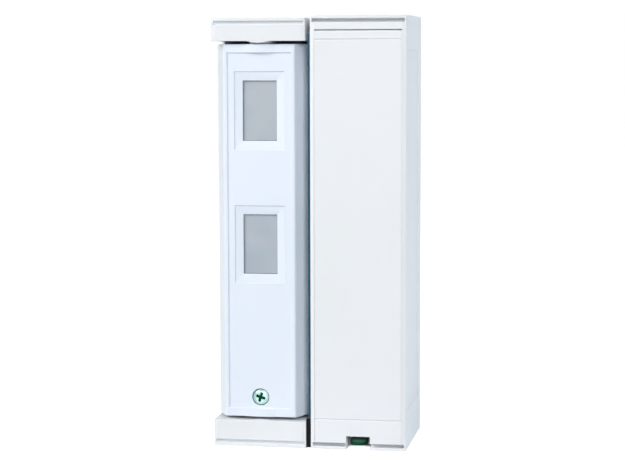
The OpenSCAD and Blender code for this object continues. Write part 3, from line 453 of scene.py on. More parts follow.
# %% Finishes of the construction
finish_of = {
    "mounting_plate": abs_white, "detector_base": abs_white, "top_end_cap": abs_white,
    "bottom_end_cap": abs_white, "box_tray": abs_white, "box_cover": abs_white,
    "upper_optic_chamber": abs_white, "lower_optic_chamber": abs_white,
    "dip_lever_1": abs_white, "dip_lever_2": abs_white, "dip_lever_3": abs_white,
    "head_rear_shell": asa_white, "head_front_cover": asa_white,
    "upper_lens": lens_film, "lower_lens": lens_film,
    "unit_screws": green_zinc, "end_cap_screws": green_zinc, "head_board_screws": green_zinc,
    "box_board_screws": green_zinc, "head_cover_screw": green_zinc, "cover_lock_screw": green_zinc,
    "pivot_bushes": stainless, "tamper_plunger": stainless,
    "upper_pir_sensor": nickel, "lower_pir_sensor": nickel, "transmitter_parts": nickel,
    "battery_contacts": spring_brass, "antenna": spring_brass,
    "entry_grommet": epdm_and_window_shade, "link_sleeve": epdm_and_window_shade, "head_gasket": epdm_and_window_shade, "box_gasket": epdm_and_window_shade,
    "dip_switch": black_nylon, "battery_holder": black_nylon, "tamper_switch": black_nylon,
    "head_board": solder_mask, "transmitter_board": solder_mask,
    "head_terminal_block": green_nylon, "box_terminal_block": green_nylon,
    "status_led": red_epoxy, "battery_cells": sleeve,
}
for node, material in finish_of.items():
    for material_slot in frame["nodes"][node].material_slots:
        material_slot.material = material
print("dressed", len(finish_of), "of", len(frame["nodes"]), "nodes")

# %% [markdown]
# ## Soft edges on the shells
# No moulded edge is perfectly sharp: the tool leaves a radius of a few tenths of a millimetre, and it
# is the thin highlight along that radius that tells the eye where one face ends. The shells in the
# frame have sharp edges. A bevel in the material would show the highlight, but the mesh itself would
# stay sharp. So a copy of each is welded, its flat areas are joined into single faces, and a bevel
# modifier with a width of a fifth of a millimetre rounds every edge sharper than 35 degrees. The copy
# then stands for the original.


# %% Rounded copies
def body_of(node):
    """The name of the body that carries a node of the construction."""
    return frame["nodes"][node]["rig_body"]


weld_mm = 0.002


def weld(mesh, flat_deg=0.5):
    """Joins loose triangles into one skin and flat areas into single faces."""
    form = bmesh.new()
    form.from_mesh(mesh)
    bmesh.ops.remove_doubles(form, verts=form.verts, dist=mm(weld_mm))
    bmesh.ops.dissolve_limit(form, angle_limit=math.radians(flat_deg), verts=form.verts, edges=form.edges)
    form.to_mesh(mesh)
    form.free()


def shade(mesh, sharp_deg=32):
    """Smooth shading that stops at real edges."""
    mesh.shade_smooth()
    mesh.set_sharp_from_angle(angle=math.radians(sharp_deg))


def plain_mesh(obj):
    """Turns an object and its modifiers into a plain mesh."""
    graph = bpy.context.evaluated_depsgraph_get()
    mesh = bpy.data.meshes.new_from_object(obj.evaluated_get(graph))
    obj.modifiers.clear()
    obj.data = mesh
    return obj


def flat_faces(obj):
    """Lets the large faces set the normals at their borders, so that they stay flat next to a radius."""
    even = obj.modifiers.new("even shading", "WEIGHTED_NORMAL")
    even.mode, even.weight, even.keep_sharp = "FACE_AREA", 100, True
    return plain_mesh(obj)


def rounded(node, name, edge_mm=0.2, sharp_deg=35, crease_deg=13):
    """A copy of a node with rounded edges that stands for it."""
    obj = bpy.data.objects.new(name, frame["nodes"][node].data.copy())
    bpy.context.scene.collection.objects.link(obj)
    weld(obj.data)
    shade(obj.data, crease_deg)
    edge = obj.modifiers.new("edge radius", "BEVEL")
    edge.width, edge.segments = mm(edge_mm), 3
    edge.limit_method, edge.angle_limit = "ANGLE", math.radians(sharp_deg)
    edge.use_clamp_overlap = False
    plain_mesh(obj)
    obj.data.materials.clear()
    obj.data.materials.append(finish_of[node])
    flat_faces(obj)
    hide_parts(node)
    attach(obj, body_of(node))
    return obj


shells = {
    "mounting_plate": "wall_plate", "detector_base": "base_shell", "top_end_cap": "cap_top",
    "bottom_end_cap": "cap_bottom", "head_rear_shell": "head_back", "head_front_cover": "head_face",
    "box_tray": "box_body", "box_cover": "box_front",
}
for node, name in shells.items():
    shell = rounded(node, name)
    print(name, len(shell.data.polygons), "faces")

# %% [markdown]
# ### Smaller parts
# The smaller mouldings, seals and metal parts get the same treatment with a finer edge. Their tools are
# small too, so their radii are only about a tenth of a millimetre.

# %% Rounded small parts
small_parts = {
    "entry_grommet": "cable_seal", "link_sleeve": "wire_sleeve", "pivot_bushes": "pivot_rings",
    "head_gasket": "head_seal", "box_gasket": "box_seal", "dip_switch": "switch_block",
    "head_terminal_block": "head_terminals", "box_terminal_block": "box_terminals",
    "tamper_switch": "tamper_block", "battery_holder": "cell_tray",
    "upper_pir_sensor": "sensor_can_upper", "lower_pir_sensor": "sensor_can_lower",
    "head_board": "sensor_board", "transmitter_board": "radio_board",
    "upper_optic_chamber": "funnel_upper", "lower_optic_chamber": "funnel_lower",
    "dip_lever_1": "lever_one", "dip_lever_2": "lever_two", "dip_lever_3": "lever_three",
}
for node, name in small_parts.items():
    part = rounded(node, name, edge_mm=0.1)
    print(name, len(part.data.polygons), "faces")

# %% [markdown]
# ## Screws
# Every screw here is a pan head screw with a cross recess: a low domed head with a rounded rim, a
# tapered cross in the middle, and a shank. They differ only in size, so one node tree makes them
# all: first the head, then the cross, then the shank, and last a copy on each point that it is given,
# turned as the point says. Three functions do what every tree here needs: one opens a tree with
# named inputs, one ends it, and one runs it and keeps the result as a plain mesh.


# %% Trees that grow pieces
def geometry_tree(name, sizes):
    """A geometry tree with named inputs. Returns the tree and its input sockets."""
    tree = bpy.data.node_groups.new(name, "GeometryNodeTree")
    tree.interface.new_socket("Geometry", in_out="OUTPUT", socket_type="NodeSocketGeometry")
    tree.interface.new_socket("Geometry", in_out="INPUT", socket_type="NodeSocketGeometry")
    for label, kind in sizes.items():
        tree.interface.new_socket(label, in_out="INPUT", socket_type="NodeSocket" + kind)
    return tree, add(tree, "NodeGroupInput").outputs


def copy_and_coat(tree, size, shape, coat, mark=None, mark_coat=None):
    """Ends a tree: a copy of the shape on each point, turned as the point says, made real and coated.
    Faces that carry the mark get a second coat."""
    turn = add(tree, "GeometryNodeInputNamedAttribute", {"Name": "turn"}, data_type="FLOAT_VECTOR")
    copies = add(tree, "GeometryNodeInstanceOnPoints", {
        "Points": size["Geometry"], "Instance": shape, "Rotation": turn.outputs["Attribute"]})
    whole = add(tree, "GeometryNodeRealizeInstances", {"Geometry": copies.outputs[0]})
    coated = add(tree, "GeometryNodeSetMaterial", {
        "Geometry": whole.outputs[0], "Material": size[coat]})
    if mark:
        marked = add(tree, "GeometryNodeInputNamedAttribute", {"Name": mark}, data_type="BOOLEAN")
        coated = add(tree, "GeometryNodeSetMaterial", {
            "Geometry": coated.outputs[0], "Selection": marked.outputs["Attribute"],
            "Material": size[mark_coat]})
    add(tree, "NodeGroupOutput", {"Geometry": coated.outputs[0]})


def grow(name, places, tree, values):
    """Runs a tree on a set of placed points and returns a plain mesh object."""
    mesh = bpy.data.meshes.new(name)
    mesh.from_pydata([place.translation for place in places], [], [])
    turn = mesh.attributes.new("turn", "FLOAT_VECTOR", "POINT")
    for item, place in zip(turn.data, places):
        item.vector = Vector(place.to_euler())
    obj = bpy.data.objects.new(name, mesh)
    bpy.context.scene.collection.objects.link(obj)
    maker = obj.modifiers.new("maker", "NODES")
    maker.node_group = tree
    for item in tree.interface.items_tree:
        if item.in_out == "INPUT" and item.name in values:
            maker[item.identifier] = values[item.name]
    plain_mesh(obj)
    shade(obj.data)
    return obj


# %% [markdown]
# ### The head
# A pan head is a low dome with a rounded rim. It could be turned from an outline, but then each size
# would need its own. Here the rings of a plain cylinder are drawn in towards the top by a power of their
# height, which rounds the rim. The top also falls off with the square of the distance from the axis,
# which gives the dome. Both work with shares of the radius and the height, so they suit every size.

# %% Head of the screw
screw_tree, size = geometry_tree("pan head screws", {
    "Head Radius": "Float", "Head Height": "Float", "Shank Radius": "Float", "Shank Length": "Float",
    "Cross Reach": "Float", "Cross Width": "Float", "Thread Steps": "Int", "Facets": "Int",
    "Metal": "Material", "Cross Metal": "Material"})
rim_pull, rim_power, dome_drop, cross_depth_share = 0.20, 4.0, 0.24, 0.78
side_rings, end_rings = 6, 5

blank = add(screw_tree, "GeometryNodeMeshCylinder", {
    "Vertices": size["Facets"], "Side Segments": side_rings, "Fill Segments": end_rings,
    "Radius": size["Head Radius"], "Depth": size["Head Height"]}, fill_type="TRIANGLE_FAN")
place = add(screw_tree, "GeometryNodeInputPosition")
spot = add(screw_tree, "ShaderNodeSeparateXYZ", {"Vector": place.outputs[0]})
depth = add(screw_tree, "ShaderNodeMath", {0: spot.outputs["Z"], 1: size["Head Height"]},
            operation="DIVIDE")
toward_top = add(screw_tree, "ShaderNodeMath", {0: 0.5, 1: depth.outputs[0]}, operation="SUBTRACT")
steep = add(screw_tree, "ShaderNodeMath", {0: toward_top.outputs[0], 1: rim_power}, operation="POWER")
pull = add(screw_tree, "ShaderNodeMath", {0: steep.outputs[0], 1: -rim_pull, 2: 1.0},
           operation="MULTIPLY_ADD")
flat = add(screw_tree, "ShaderNodeCombineXYZ", {"X": spot.outputs["X"], "Y": spot.outputs["Y"]})
reach = add(screw_tree, "ShaderNodeVectorMath", {0: flat.outputs[0]}, operation="LENGTH")
reach_share = add(screw_tree, "ShaderNodeMath", {0: reach.outputs["Value"], 1: size["Head Radius"]},
                  operation="DIVIDE")
round_off = add(screw_tree, "ShaderNodeMath", {0: reach_share.outputs[0], 1: 2.0}, operation="POWER")
dome = add(screw_tree, "ShaderNodeMath", {0: round_off.outputs[0], 1: toward_top.outputs[0]},
           operation="MULTIPLY")
dome = add(screw_tree, "ShaderNodeMath", {0: dome.outputs[0], 1: size["Head Height"]},
           operation="MULTIPLY")
height = add(screw_tree, "ShaderNodeMath", {0: dome.outputs[0], 1: dome_drop, 2: spot.outputs["Z"]},
             operation="MULTIPLY_ADD")
flat = add(screw_tree, "ShaderNodeVectorMath", {0: flat.outputs[0], "Scale": pull.outputs[0]},
           operation="SCALE")
lift = add(screw_tree, "ShaderNodeCombineXYZ", {"Z": height.outputs[0]})
bent = add(screw_tree, "ShaderNodeVectorMath", {0: flat.outputs[0], 1: lift.outputs[0]},
           operation="ADD")
head = add(screw_tree, "GeometryNodeSetPosition", {
    "Geometry": blank.outputs["Mesh"], "Position": bent.outputs[0]})
half_down = add(screw_tree, "ShaderNodeMath", {0: size["Head Height"], 1: -0.5}, operation="MULTIPLY")
down = add(screw_tree, "ShaderNodeCombineXYZ", {"Z": half_down.outputs[0]})
head = add(screw_tree, "GeometryNodeTransform", {
    "Geometry": head.outputs[0], "Translation": down.outputs[0]})
print("screw head shaped by", len(screw_tree.nodes), "nodes")

# %% [markdown]
# ### The cross
# The real recess is pressed in by a tapered punch. A painted cross would stay flat when the light
# moves, so the cross is cut: two bars that narrow towards the bottom are taken out of the head, one
# along and one across. They don't go right through, and neither does the punch.

# %% Cross recess
cross_taper = 0.3
cross_depth = add(screw_tree, "ShaderNodeMath", {0: size["Head Height"], 1: cross_depth_share},
                  operation="MULTIPLY")
bar_height = add(screw_tree, "ShaderNodeMath", {0: cross_depth.outputs[0], 1: 2.0},
                 operation="MULTIPLY")
bar_length = add(screw_tree, "ShaderNodeMath", {0: size["Cross Reach"], 1: 2.0}, operation="MULTIPLY")
bar_size = add(screw_tree, "ShaderNodeCombineXYZ", {
    "X": bar_length.outputs[0], "Y": size["Cross Width"], "Z": bar_height.outputs[0]})
bar = add(screw_tree, "GeometryNodeMeshCube", {"Size": bar_size.outputs[0]})
place = add(screw_tree, "GeometryNodeInputPosition")
spot = add(screw_tree, "ShaderNodeSeparateXYZ", {"Vector": place.outputs[0]})
depth = add(screw_tree, "ShaderNodeMath", {0: spot.outputs["Z"], 1: cross_depth.outputs[0]},
            operation="DIVIDE")
taper = add(screw_tree, "ShaderNodeMath", {0: depth.outputs[0], 1: -cross_taper, 2: 1.0},
            operation="MULTIPLY_ADD")
taper = add(screw_tree, "ShaderNodeCombineXYZ", {
    "X": taper.outputs[0], "Y": taper.outputs[0], "Z": 1.0})
tapered = add(screw_tree, "ShaderNodeVectorMath", {0: place.outputs[0], 1: taper.outputs[0]},
              operation="MULTIPLY")
bar = add(screw_tree, "GeometryNodeSetPosition", {
    "Geometry": bar.outputs["Mesh"], "Position": tapered.outputs[0]})
full_down = add(screw_tree, "ShaderNodeMath", {0: size["Head Height"], 1: -1.0}, operation="MULTIPLY")
down = add(screw_tree, "ShaderNodeCombineXYZ", {"Z": full_down.outputs[0]})
for turn_deg in (0, 90):
    cutter = add(screw_tree, "GeometryNodeTransform", {
        "Geometry": bar.outputs[0], "Translation": down.outputs[0],
        "Rotation": (0, 0, math.radians(turn_deg))})
    head = add(screw_tree, "GeometryNodeMeshBoolean", {
        "Mesh 1": head.outputs[0], "Mesh 2": cutter.outputs[0]}, operation="DIFFERENCE", solver="EXACT")
print("cross cut to", cross_depth_share, "of the head's height")

# %% [markdown]
# ### Painted shade in the cross
# The photograph shows the cross as dark green, while the head round it is pale, so the faces of the
# cross get the dark copy of the zinc, painted shade on top of the shade that the cut itself gives. The
# tree could return two meshes, but a mark on the faces is simpler, because Set Material can read it at
# the end. A face belongs to the recess when its middle lies below the dome, not below the floor of the
# cross, and within the cross's reach.

# %% Marking the recess
mark_from, mark_to = 0.28, 1.1
place = add(screw_tree, "GeometryNodeInputPosition")
spot = add(screw_tree, "ShaderNodeSeparateXYZ", {"Vector": place.outputs[0]})
below = add(screw_tree, "ShaderNodeMath", {
    0: cross_depth.outputs[0], 1: mark_from, 2: full_down.outputs[0]}, operation="MULTIPLY_ADD")
above = add(screw_tree, "ShaderNodeMath", {
    0: cross_depth.outputs[0], 1: mark_to, 2: full_down.outputs[0]}, operation="MULTIPLY_ADD")
under = add(screw_tree, "ShaderNodeMath", {0: spot.outputs["Z"], 1: below.outputs[0]},
            operation="GREATER_THAN")
over = add(screw_tree, "ShaderNodeMath", {0: spot.outputs["Z"], 1: above.outputs[0]},
           operation="LESS_THAN")
flat = add(screw_tree, "ShaderNodeCombineXYZ", {"X": spot.outputs["X"], "Y": spot.outputs["Y"]})
reach = add(screw_tree, "ShaderNodeVectorMath", {0: flat.outputs[0]}, operation="LENGTH")
near = add(screw_tree, "ShaderNodeMath", {0: reach.outputs["Value"], 1: size["Cross Reach"]},
           operation="LESS_THAN")
inside = add(screw_tree, "ShaderNodeMath", {0: under.outputs[0], 1: over.outputs[0]},
             operation="MULTIPLY")
inside = add(screw_tree, "ShaderNodeMath", {0: inside.outputs[0], 1: near.outputs[0]},
             operation="MULTIPLY")
head = add(screw_tree, "GeometryNodeStoreNamedAttribute", {
    "Geometry": head.outputs[0], "Name": "recess", "Value": inside.outputs[0]},
    data_type="BOOLEAN", domain="FACE")
print("recess marked from", mark_from, "to", mark_to, "of the cross's depth")

# %% [markdown]
# ### The thread
# A real thread is a helix, which would cost thousands of faces on every screw and hardly show. So the
# rings of the shank step in and out by turns, once for each turn of the thread.

# %% Shank, copies and metal
thread_cut, shank_facets = 0.16, 24
shank = add(screw_tree, "GeometryNodeMeshCylinder", {
    "Vertices": shank_facets, "Side Segments": size["Thread Steps"], "Radius": size["Shank Radius"],
    "Depth": size["Shank Length"]})
place = add(screw_tree, "GeometryNodeInputPosition")
spot = add(screw_tree, "ShaderNodeSeparateXYZ", {"Vector": place.outputs[0]})
from_end = add(screw_tree, "ShaderNodeMath", {0: size["Shank Length"], 1: 0.5, 2: spot.outputs["Z"]},
               operation="MULTIPLY_ADD")
step = add(screw_tree, "ShaderNodeMath", {0: size["Shank Length"], 1: size["Thread Steps"]},
           operation="DIVIDE")
saw = add(screw_tree, "ShaderNodeMath", {0: from_end.outputs[0], 1: step.outputs[0]},
          operation="PINGPONG")
saw = add(screw_tree, "ShaderNodeMath", {0: saw.outputs[0], 1: step.outputs[0]}, operation="DIVIDE")
inward = add(screw_tree, "ShaderNodeMath", {0: saw.outputs[0], 1: -thread_cut, 2: 1.0},
             operation="MULTIPLY_ADD")
inward = add(screw_tree, "ShaderNodeCombineXYZ", {
    "X": inward.outputs[0], "Y": inward.outputs[0], "Z": 1.0})
cut = add(screw_tree, "ShaderNodeVectorMath", {0: place.outputs[0], 1: inward.outputs[0]},
          operation="MULTIPLY")
shank = add(screw_tree, "GeometryNodeSetPosition", {
    "Geometry": shank.outputs["Mesh"], "Position": cut.outputs[0]})
half_up = add(screw_tree, "ShaderNodeMath", {0: size["Shank Length"], 1: 0.5}, operation="MULTIPLY")
up_by = add(screw_tree, "ShaderNodeCombineXYZ", {"Z": half_up.outputs[0]})
shank = add(screw_tree, "GeometryNodeTransform", {
    "Geometry": shank.outputs[0], "Translation": up_by.outputs[0]})
screw = add(screw_tree, "GeometryNodeJoinGeometry", {"Geometry": [head.outputs[0], shank.outputs[0]]})
copy_and_coat(screw_tree, size, screw.outputs[0], "Metal", "recess", "Cross Metal")
print("screw tree has", len(screw_tree.nodes), "nodes")

# %% [markdown]
# ### Placing the screws
# A screw's place is its seat, and its shank points along local Z. The seats are those that the
# construction has, in its own millimetres, so the new screws sit where the old ones were. The crosses
# stand at odd angles, because nobody lines them up.


# %% Screw sets
into_wall = Matrix.Rotation(math.radians(-90), 4, "X")
from_above = Matrix.Rotation(math.radians(180), 4, "X")
from_below = Matrix.Identity(4)


def seated(seat_mm, facing, spin_deg):
    """The place of a screw or small part: its seat, the way it points, and its turn about that way."""
    return (Matrix.Translation(Vector(seat_mm) / 1000) @ facing
            @ Matrix.Rotation(math.radians(spin_deg), 4, "Z"))


def screw_set(name, node, places, head_mm, shank_mm, cross_mm, metal, cross_metal, facets=48):
    """A set of screws that stands for a node. Sizes are radius and height, radius and length."""
    obj = grow(name, places, screw_tree, {
        "Head Radius": mm(head_mm[0]), "Head Height": mm(head_mm[1]),
        "Shank Radius": mm(shank_mm[0]), "Shank Length": mm(shank_mm[1]),
        "Cross Reach": mm(cross_mm[0]), "Cross Width": mm(cross_mm[1]),
        "Thread Steps": 2 * round(shank_mm[1] / thread_pitch_mm), "Facets": facets,
        "Metal": metal, "Cross Metal": cross_metal})
    if node:
        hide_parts(node)
        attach(obj, body_of(node))
    return obj


def box_mm(node):
    """The lowest and highest corner of a node in millimetres."""
    low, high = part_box(node)
    return [v * 1000 for v in low], [v * 1000 for v in high]


def small_screws(name, node, places, shank_mm):
    """A set of the small inner screws, which differ only in the length of their shanks."""
    screw_set(name, node, places, small_head, (small_shank_r, shank_mm), small_cross,
              green_zinc, shaded_zinc_copy)


# %% Screw places
thread_pitch_mm = 0.7
small_head, small_cross, small_shank_r = (2.8, 1.9), (1.75, 0.75), 1.4
unit_seat_y, cap_screw_y, head_board_seat_y, box_board_seat_y = 16.7, 12.7, -4.4, 10
unit_corners = [(x, z) for x in (-23.3, 23) for z in (26, 174)]
head_board_corners = [(x, z) for z in (35, 174.1) for x in (-35.8, -10.8)]
box_board_corners = [(x, z) for z in (108.5, 167.5) for x in (11, 35)]

small_screws("unit_fixings", "unit_screws",
             [seated((x, unit_seat_y, z), into_wall, spin)
              for (x, z), spin in zip(unit_corners, (12, 47, 80, 31))], 7.5)
low, high = box_mm("end_cap_screws")
cap_xs = (low[0] + small_head[0], high[0] - small_head[0])
cap_screws = [seated((x, cap_screw_y, low[2] + small_head[1]), from_below, spin)
              for x, spin in zip(cap_xs, (20, 64))]
cap_screws += [seated((x, cap_screw_y, high[2] - small_head[1]), from_above, spin)
               for x, spin in zip(cap_xs, (5, 38))]
small_screws("cap_fixings", "end_cap_screws", cap_screws, 8.5)
small_screws("sensor_board_fixings", "head_board_screws",
             [seated((x, head_board_seat_y, z), into_wall, spin)
              for (x, z), spin in zip(head_board_corners, (25, 70, 8, 52))], 7.1)
small_screws("radio_board_fixings", "box_board_screws",
             [seated((x, box_board_seat_y, z), into_wall, spin)
              for (x, z), spin in zip(box_board_corners, (33, 77, 60, 14))], 6.2)
print("inner screws with heads", 2 * small_head[0], "mm across")

# %% [markdown]
# ### The two screws that show
# One screw closes the face of the head, and one in the notch under the box locks its cover. Both are
# bigger than the inner ones, and they get more facets, because the picture shows their outlines. The
# first gets the lighter copy of the zinc, painted light, and the second, deep in its notch, gets the
# dark copy all over, painted shade.

# %% The two screws that show
face_x, face_z, face_seat_y = -23.3, 23.1, -23.84
foot_x, foot_y, foot_seat_z = 23, -23, 3.5
face_screw = screw_set("face_fixing", "head_cover_screw",
                       [seated((face_x, face_seat_y, face_z), into_wall, 18)],
                       (3.3, 1.7), (1.5, 22.3), (2.4, 1.35), lit_zinc_copy, shaded_zinc_copy, facets=72)
lock_screw = screw_set("foot_fixing", "cover_lock_screw",
                       [seated((foot_x, foot_y, foot_seat_z), from_below, 30)],
                       (4.25, 1.9), (1.5, 7.6), (2.6, 1.0), shaded_zinc_copy, shaded_zinc_copy, facets=72)
for obj in (face_screw, lock_screw):
    print(obj.name, len(obj.data.polygons), "faces")

# %% [markdown]
# ## Bars and turned pieces
# Most of the small pieces that follow are bars with softened edges, or forms turned on a lathe. Blender's
# own primitives could make them, but a bmesh takes several into one mesh, and nothing else appears in
# the scene on the way. So one function adds a bar, one turns an outline round an axis, and one makes
# the finished piece. A fourth gives a place in millimetres.


# %% Turned and extruded pieces
def bar_into(form, low_mm, high_mm, edge_mm=0.04):
    """Adds a bar with softened edges to a bmesh, between two corners in millimetres."""
    low, high = Vector(low_mm) / 1000, Vector(high_mm) / 1000
    made = bmesh.ops.create_cube(form, size=1.0)["verts"]
    for vert in made:
        vert.co = Vector(low[i] if vert.co[i] < 0 else high[i] for i in range(3))
    edges = list({edge for vert in made for edge in vert.link_edges})
    bmesh.ops.bevel(form, geom=made + edges, offset=mm(edge_mm), segments=1, affect="EDGES")


def lathe_into(form, profile_mm, place, steps=48, second_within_mm=0):
    """Adds a turned form to a bmesh. The profile gives radius and height from corner to corner, and
    faces that stay within the last number get the piece's second material."""
    rings = []
    for radius, height in profile_mm:
        if radius == 0:
            rings.append([form.verts.new(place @ Vector((0, 0, mm(height))))])
            continue
        rings.append([form.verts.new(place @ Vector((
            mm(radius) * math.cos(2 * math.pi * i / steps),
            mm(radius) * math.sin(2 * math.pi * i / steps), mm(height)))) for i in range(steps)])
    faces = []
    reaches = [max(a[0], b[0]) for a, b in zip(profile_mm, profile_mm[1:])]
    for first, second, widest in zip(rings, rings[1:], reaches):
        for i in range(steps):
            j = (i + 1) % steps
            corners = [first[i % len(first)], first[j % len(first)], second[j % len(second)],
                       second[i % len(second)]]
            unique = list(dict.fromkeys(corners))
            faces.append(form.faces.new(unique))
            faces[-1].material_index = int(widest <= second_within_mm)
    bmesh.ops.recalc_face_normals(form, faces=faces)


def finished(name, form, body, *materials):
    """Turns a bmesh into a piece on a body."""
    mesh = bpy.data.meshes.new(name)
    form.to_mesh(mesh)
    form.free()
    obj = bpy.data.objects.new(name, mesh)
    bpy.context.scene.collection.objects.link(obj)
    for material in materials:
        mesh.materials.append(material)
    shade(mesh)
    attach(obj, body)
    return obj


def at(x, y, z):
    """A place in millimetres, unturned."""
    return Matrix.Translation(Vector((x, y, z)) / 1000)


# %% [markdown]
# ### Seam lips
# Between the cover and its frame the real moulding has a lip, so one never looks through the seam into
# the box, only at a lit strip a little below the surface. The same goes for the seam under the top bar.
# The lips are straight, so a bar in each seam is enough.

# %% Seam lips
tray_low, tray_high = box_mm("box_tray")
cover_low, cover_high = box_mm("box_cover")
front_y = tray_low[1]
slot_foot_mm, bar_mm, fine_edge_mm = 3.1, 3.3, 0.02
seam_top_z = tray_high[2] - slot_foot_mm - bar_mm
side_lip_mm, side_lip_in_mm, side_lip_back_mm, side_lip_foot_mm = 0.17, 0.12, 1.6, 3.2
top_lip_mm, top_lip_in_mm, top_lip_back_mm, top_lip_under_bar_mm = 0.42, 1.9, 1.8, 0.05
form = bmesh.new()
for side_x in (cover_low[0] - fine_edge_mm - side_lip_mm, cover_high[0] + fine_edge_mm):
    bar_into(form, (side_x, front_y + side_lip_in_mm, tray_low[2] + side_lip_foot_mm),
             (side_x + side_lip_mm, front_y + side_lip_back_mm, seam_top_z), fine_edge_mm)
bar_into(form, (cover_low[0], front_y + top_lip_in_mm, seam_top_z - top_lip_mm),
         (cover_high[0], front_y + top_lip_back_mm, seam_top_z + top_lip_under_bar_mm), fine_edge_mm)
finished("seam_lips", form, body_of("box_tray"), abs_white)
print("seam lips at", round(seam_top_z, 2), "mm")

# %% [markdown]
# ### Shade rings round the outer screws
# The face screw gets a ring that is dark grey outside, painted shade where the counterbore's wall
# throws its shadow, with an inner edge in the lighter zinc, painted light. Above the lock screw's head a
# dark green cup fills the notch with painted shade, and the screw stands on a plated rim. They are
# round, so their outlines are turned. In the first one the part near the axis gets the lighter zinc.

# %% Shade rings and rim
ring_steps, face_ring_y, lit_copy_within_mm = 64, -24.72, 3.7
face_shade_ring_profile = [(3.1, 0.8), (3.1, 0), (3.45, 0), (3.62, 0.12), (3.64, 0.3), (3.75, 0.42),
                       (4.0, 0.45), (4.0, 0.9), (3.1, 0.9), (3.1, 0.8)]
foot_shade_cup_profile = [(0, 3.4), (4.05, 3.4), (4.2, 3.6), (4.05, 4.5), (3.2, 5.3), (1.7, 5.9), (0, 5.9)]
foot_rim_profile = [(0, 1.62), (3.9, 1.62), (4.2, 1.75), (4.24, 2.1), (3.9, 2.2), (0, 2.2)]
form = bmesh.new()
# The outer part of this ring is painted shade, and its inner edge is painted light.
lathe_into(form, face_shade_ring_profile, at(face_x, face_ring_y, face_z) @ into_wall,
           ring_steps, lit_copy_within_mm)
# The profile ends where it starts, and the two rings there are joined.
bmesh.ops.remove_doubles(form, verts=form.verts, dist=mm(weld_mm))
finished("face_shade_ring", form, body_of("head_cover_screw"), counterbore_shade_grey, lit_zinc_copy)
# The cup above the lock screw's head is painted shade; the rim below it is plain plated metal.
for name, profile, finish in (("foot_shade_cup", foot_shade_cup_profile, notch_shade_green),
                              ("foot_rim", foot_rim_profile, green_zinc)):
    form = bmesh.new()
    lathe_into(form, profile, at(foot_x, foot_y, 0), ring_steps)
    finished(name, form, body_of("cover_lock_screw"), finish)
print("washers set")

# %% [markdown]
# ### Painted shade round the windows
# Where a lens film meets the edge of its window, the photograph shows a fine dark line on all four
# sides, shade along the step down to the film. A thin dark frame lies in that corner and paints that
# shade. Four bars make it, because a line that is only painted would vanish at a slant.

# %% Window shade lines
opening_in_mm, shade_line_mm, shade_line_rise_mm = 1.8, 0.22, 0.07
# A thin dark frame of painted shade where each film meets its window.
form = bmesh.new()
for node in ("upper_lens", "lower_lens"):
    low, high = box_mm(node)
    left, right = low[0] + opening_in_mm, high[0] - opening_in_mm
    bottom, top = low[2] + opening_in_mm, high[2] - opening_in_mm
    near, far = low[1] - shade_line_rise_mm, low[1] + fine_edge_mm
    for a, b, c, d in ((left, bottom, left + shade_line_mm, top), (right - shade_line_mm, bottom, right, top),
                       (left, bottom, right, bottom + shade_line_mm), (left, top - shade_line_mm, right, top)):
        bar_into(form, (a, near, b), (c, far, d), fine_edge_mm)
finished("window_shade_lines", form, body_of("upper_lens"), epdm_and_window_shade)
print("window seals round", round(right - left, 1), "by", round(top - bottom, 1), "mm")

# %% [markdown]
# ### Painted shade in the gap
# Between the head's flank and the box the photograph shows a dark teal line, which is shade in the
# narrow gap. White plastic alone would fill so narrow a gap with bounced light, so a dark teal bar along
# the box paints that shade. It stays clear of the head when that turns. Beside the lower cap the line is
# wider and quite black, so a black block fills the whole gap there as painted shade. Both are straight,
# so both are bars.

# %% Painted shade in the gap
foot_low, foot_high = box_mm("bottom_end_cap")
top_cap_foot_z = box_mm("top_end_cap")[0][2]
shade_bar_xs, shade_bar_in_mm, shade_bar_back_mm, shade_bar_edge_mm = (-0.4, 0.85), 1.3, 2.8, 0.3
shade_bar_foot_z, shade_bar_top_z = foot_high[2] + 0.7, top_cap_foot_z + 4
# A dark teal bar of painted shade along the box.
form = bmesh.new()
bar_into(form, (shade_bar_xs[0], front_y + shade_bar_in_mm, shade_bar_foot_z),
         (shade_bar_xs[1], front_y + shade_bar_back_mm, shade_bar_top_z), shade_bar_edge_mm)
finished("gap_shade_bar", form, body_of("box_tray"), teal_gap_shade)

shade_block_in_mm, shade_block_back_mm, shade_block_squeeze_mm, shade_block_edge_mm = 0.6, 3.2, 0.02, 0.1
shade_block_foot_z, shade_block_top_z = tray_low[2] + 0.5, foot_high[2] + 0.8
# A black block of painted shade between the lower cap and the box.
form = bmesh.new()
bar_into(form, (foot_high[0] - shade_block_squeeze_mm, max(front_y, foot_low[1]) + shade_block_in_mm, shade_block_foot_z),
         (tray_low[0] + shade_block_squeeze_mm, front_y + shade_block_back_mm, shade_block_top_z), shade_block_edge_mm)
finished("gap_shade_block", form, body_of("box_tray"), black_gap_shade)
gap_mm = tray_low[0] - foot_high[0]
print("bead", round(shade_bar_top_z - shade_bar_foot_z, 1), "mm long, plug", round(gap_mm, 2), "mm wide")

# %% [markdown]
# ## Cells
# Two cells stand side by side behind the cover. A cell is a steel can in a shrink sleeve, crimped near
# its top, with bare metal at both ends, so its outline is turned and the metal is the part near the
# axis.

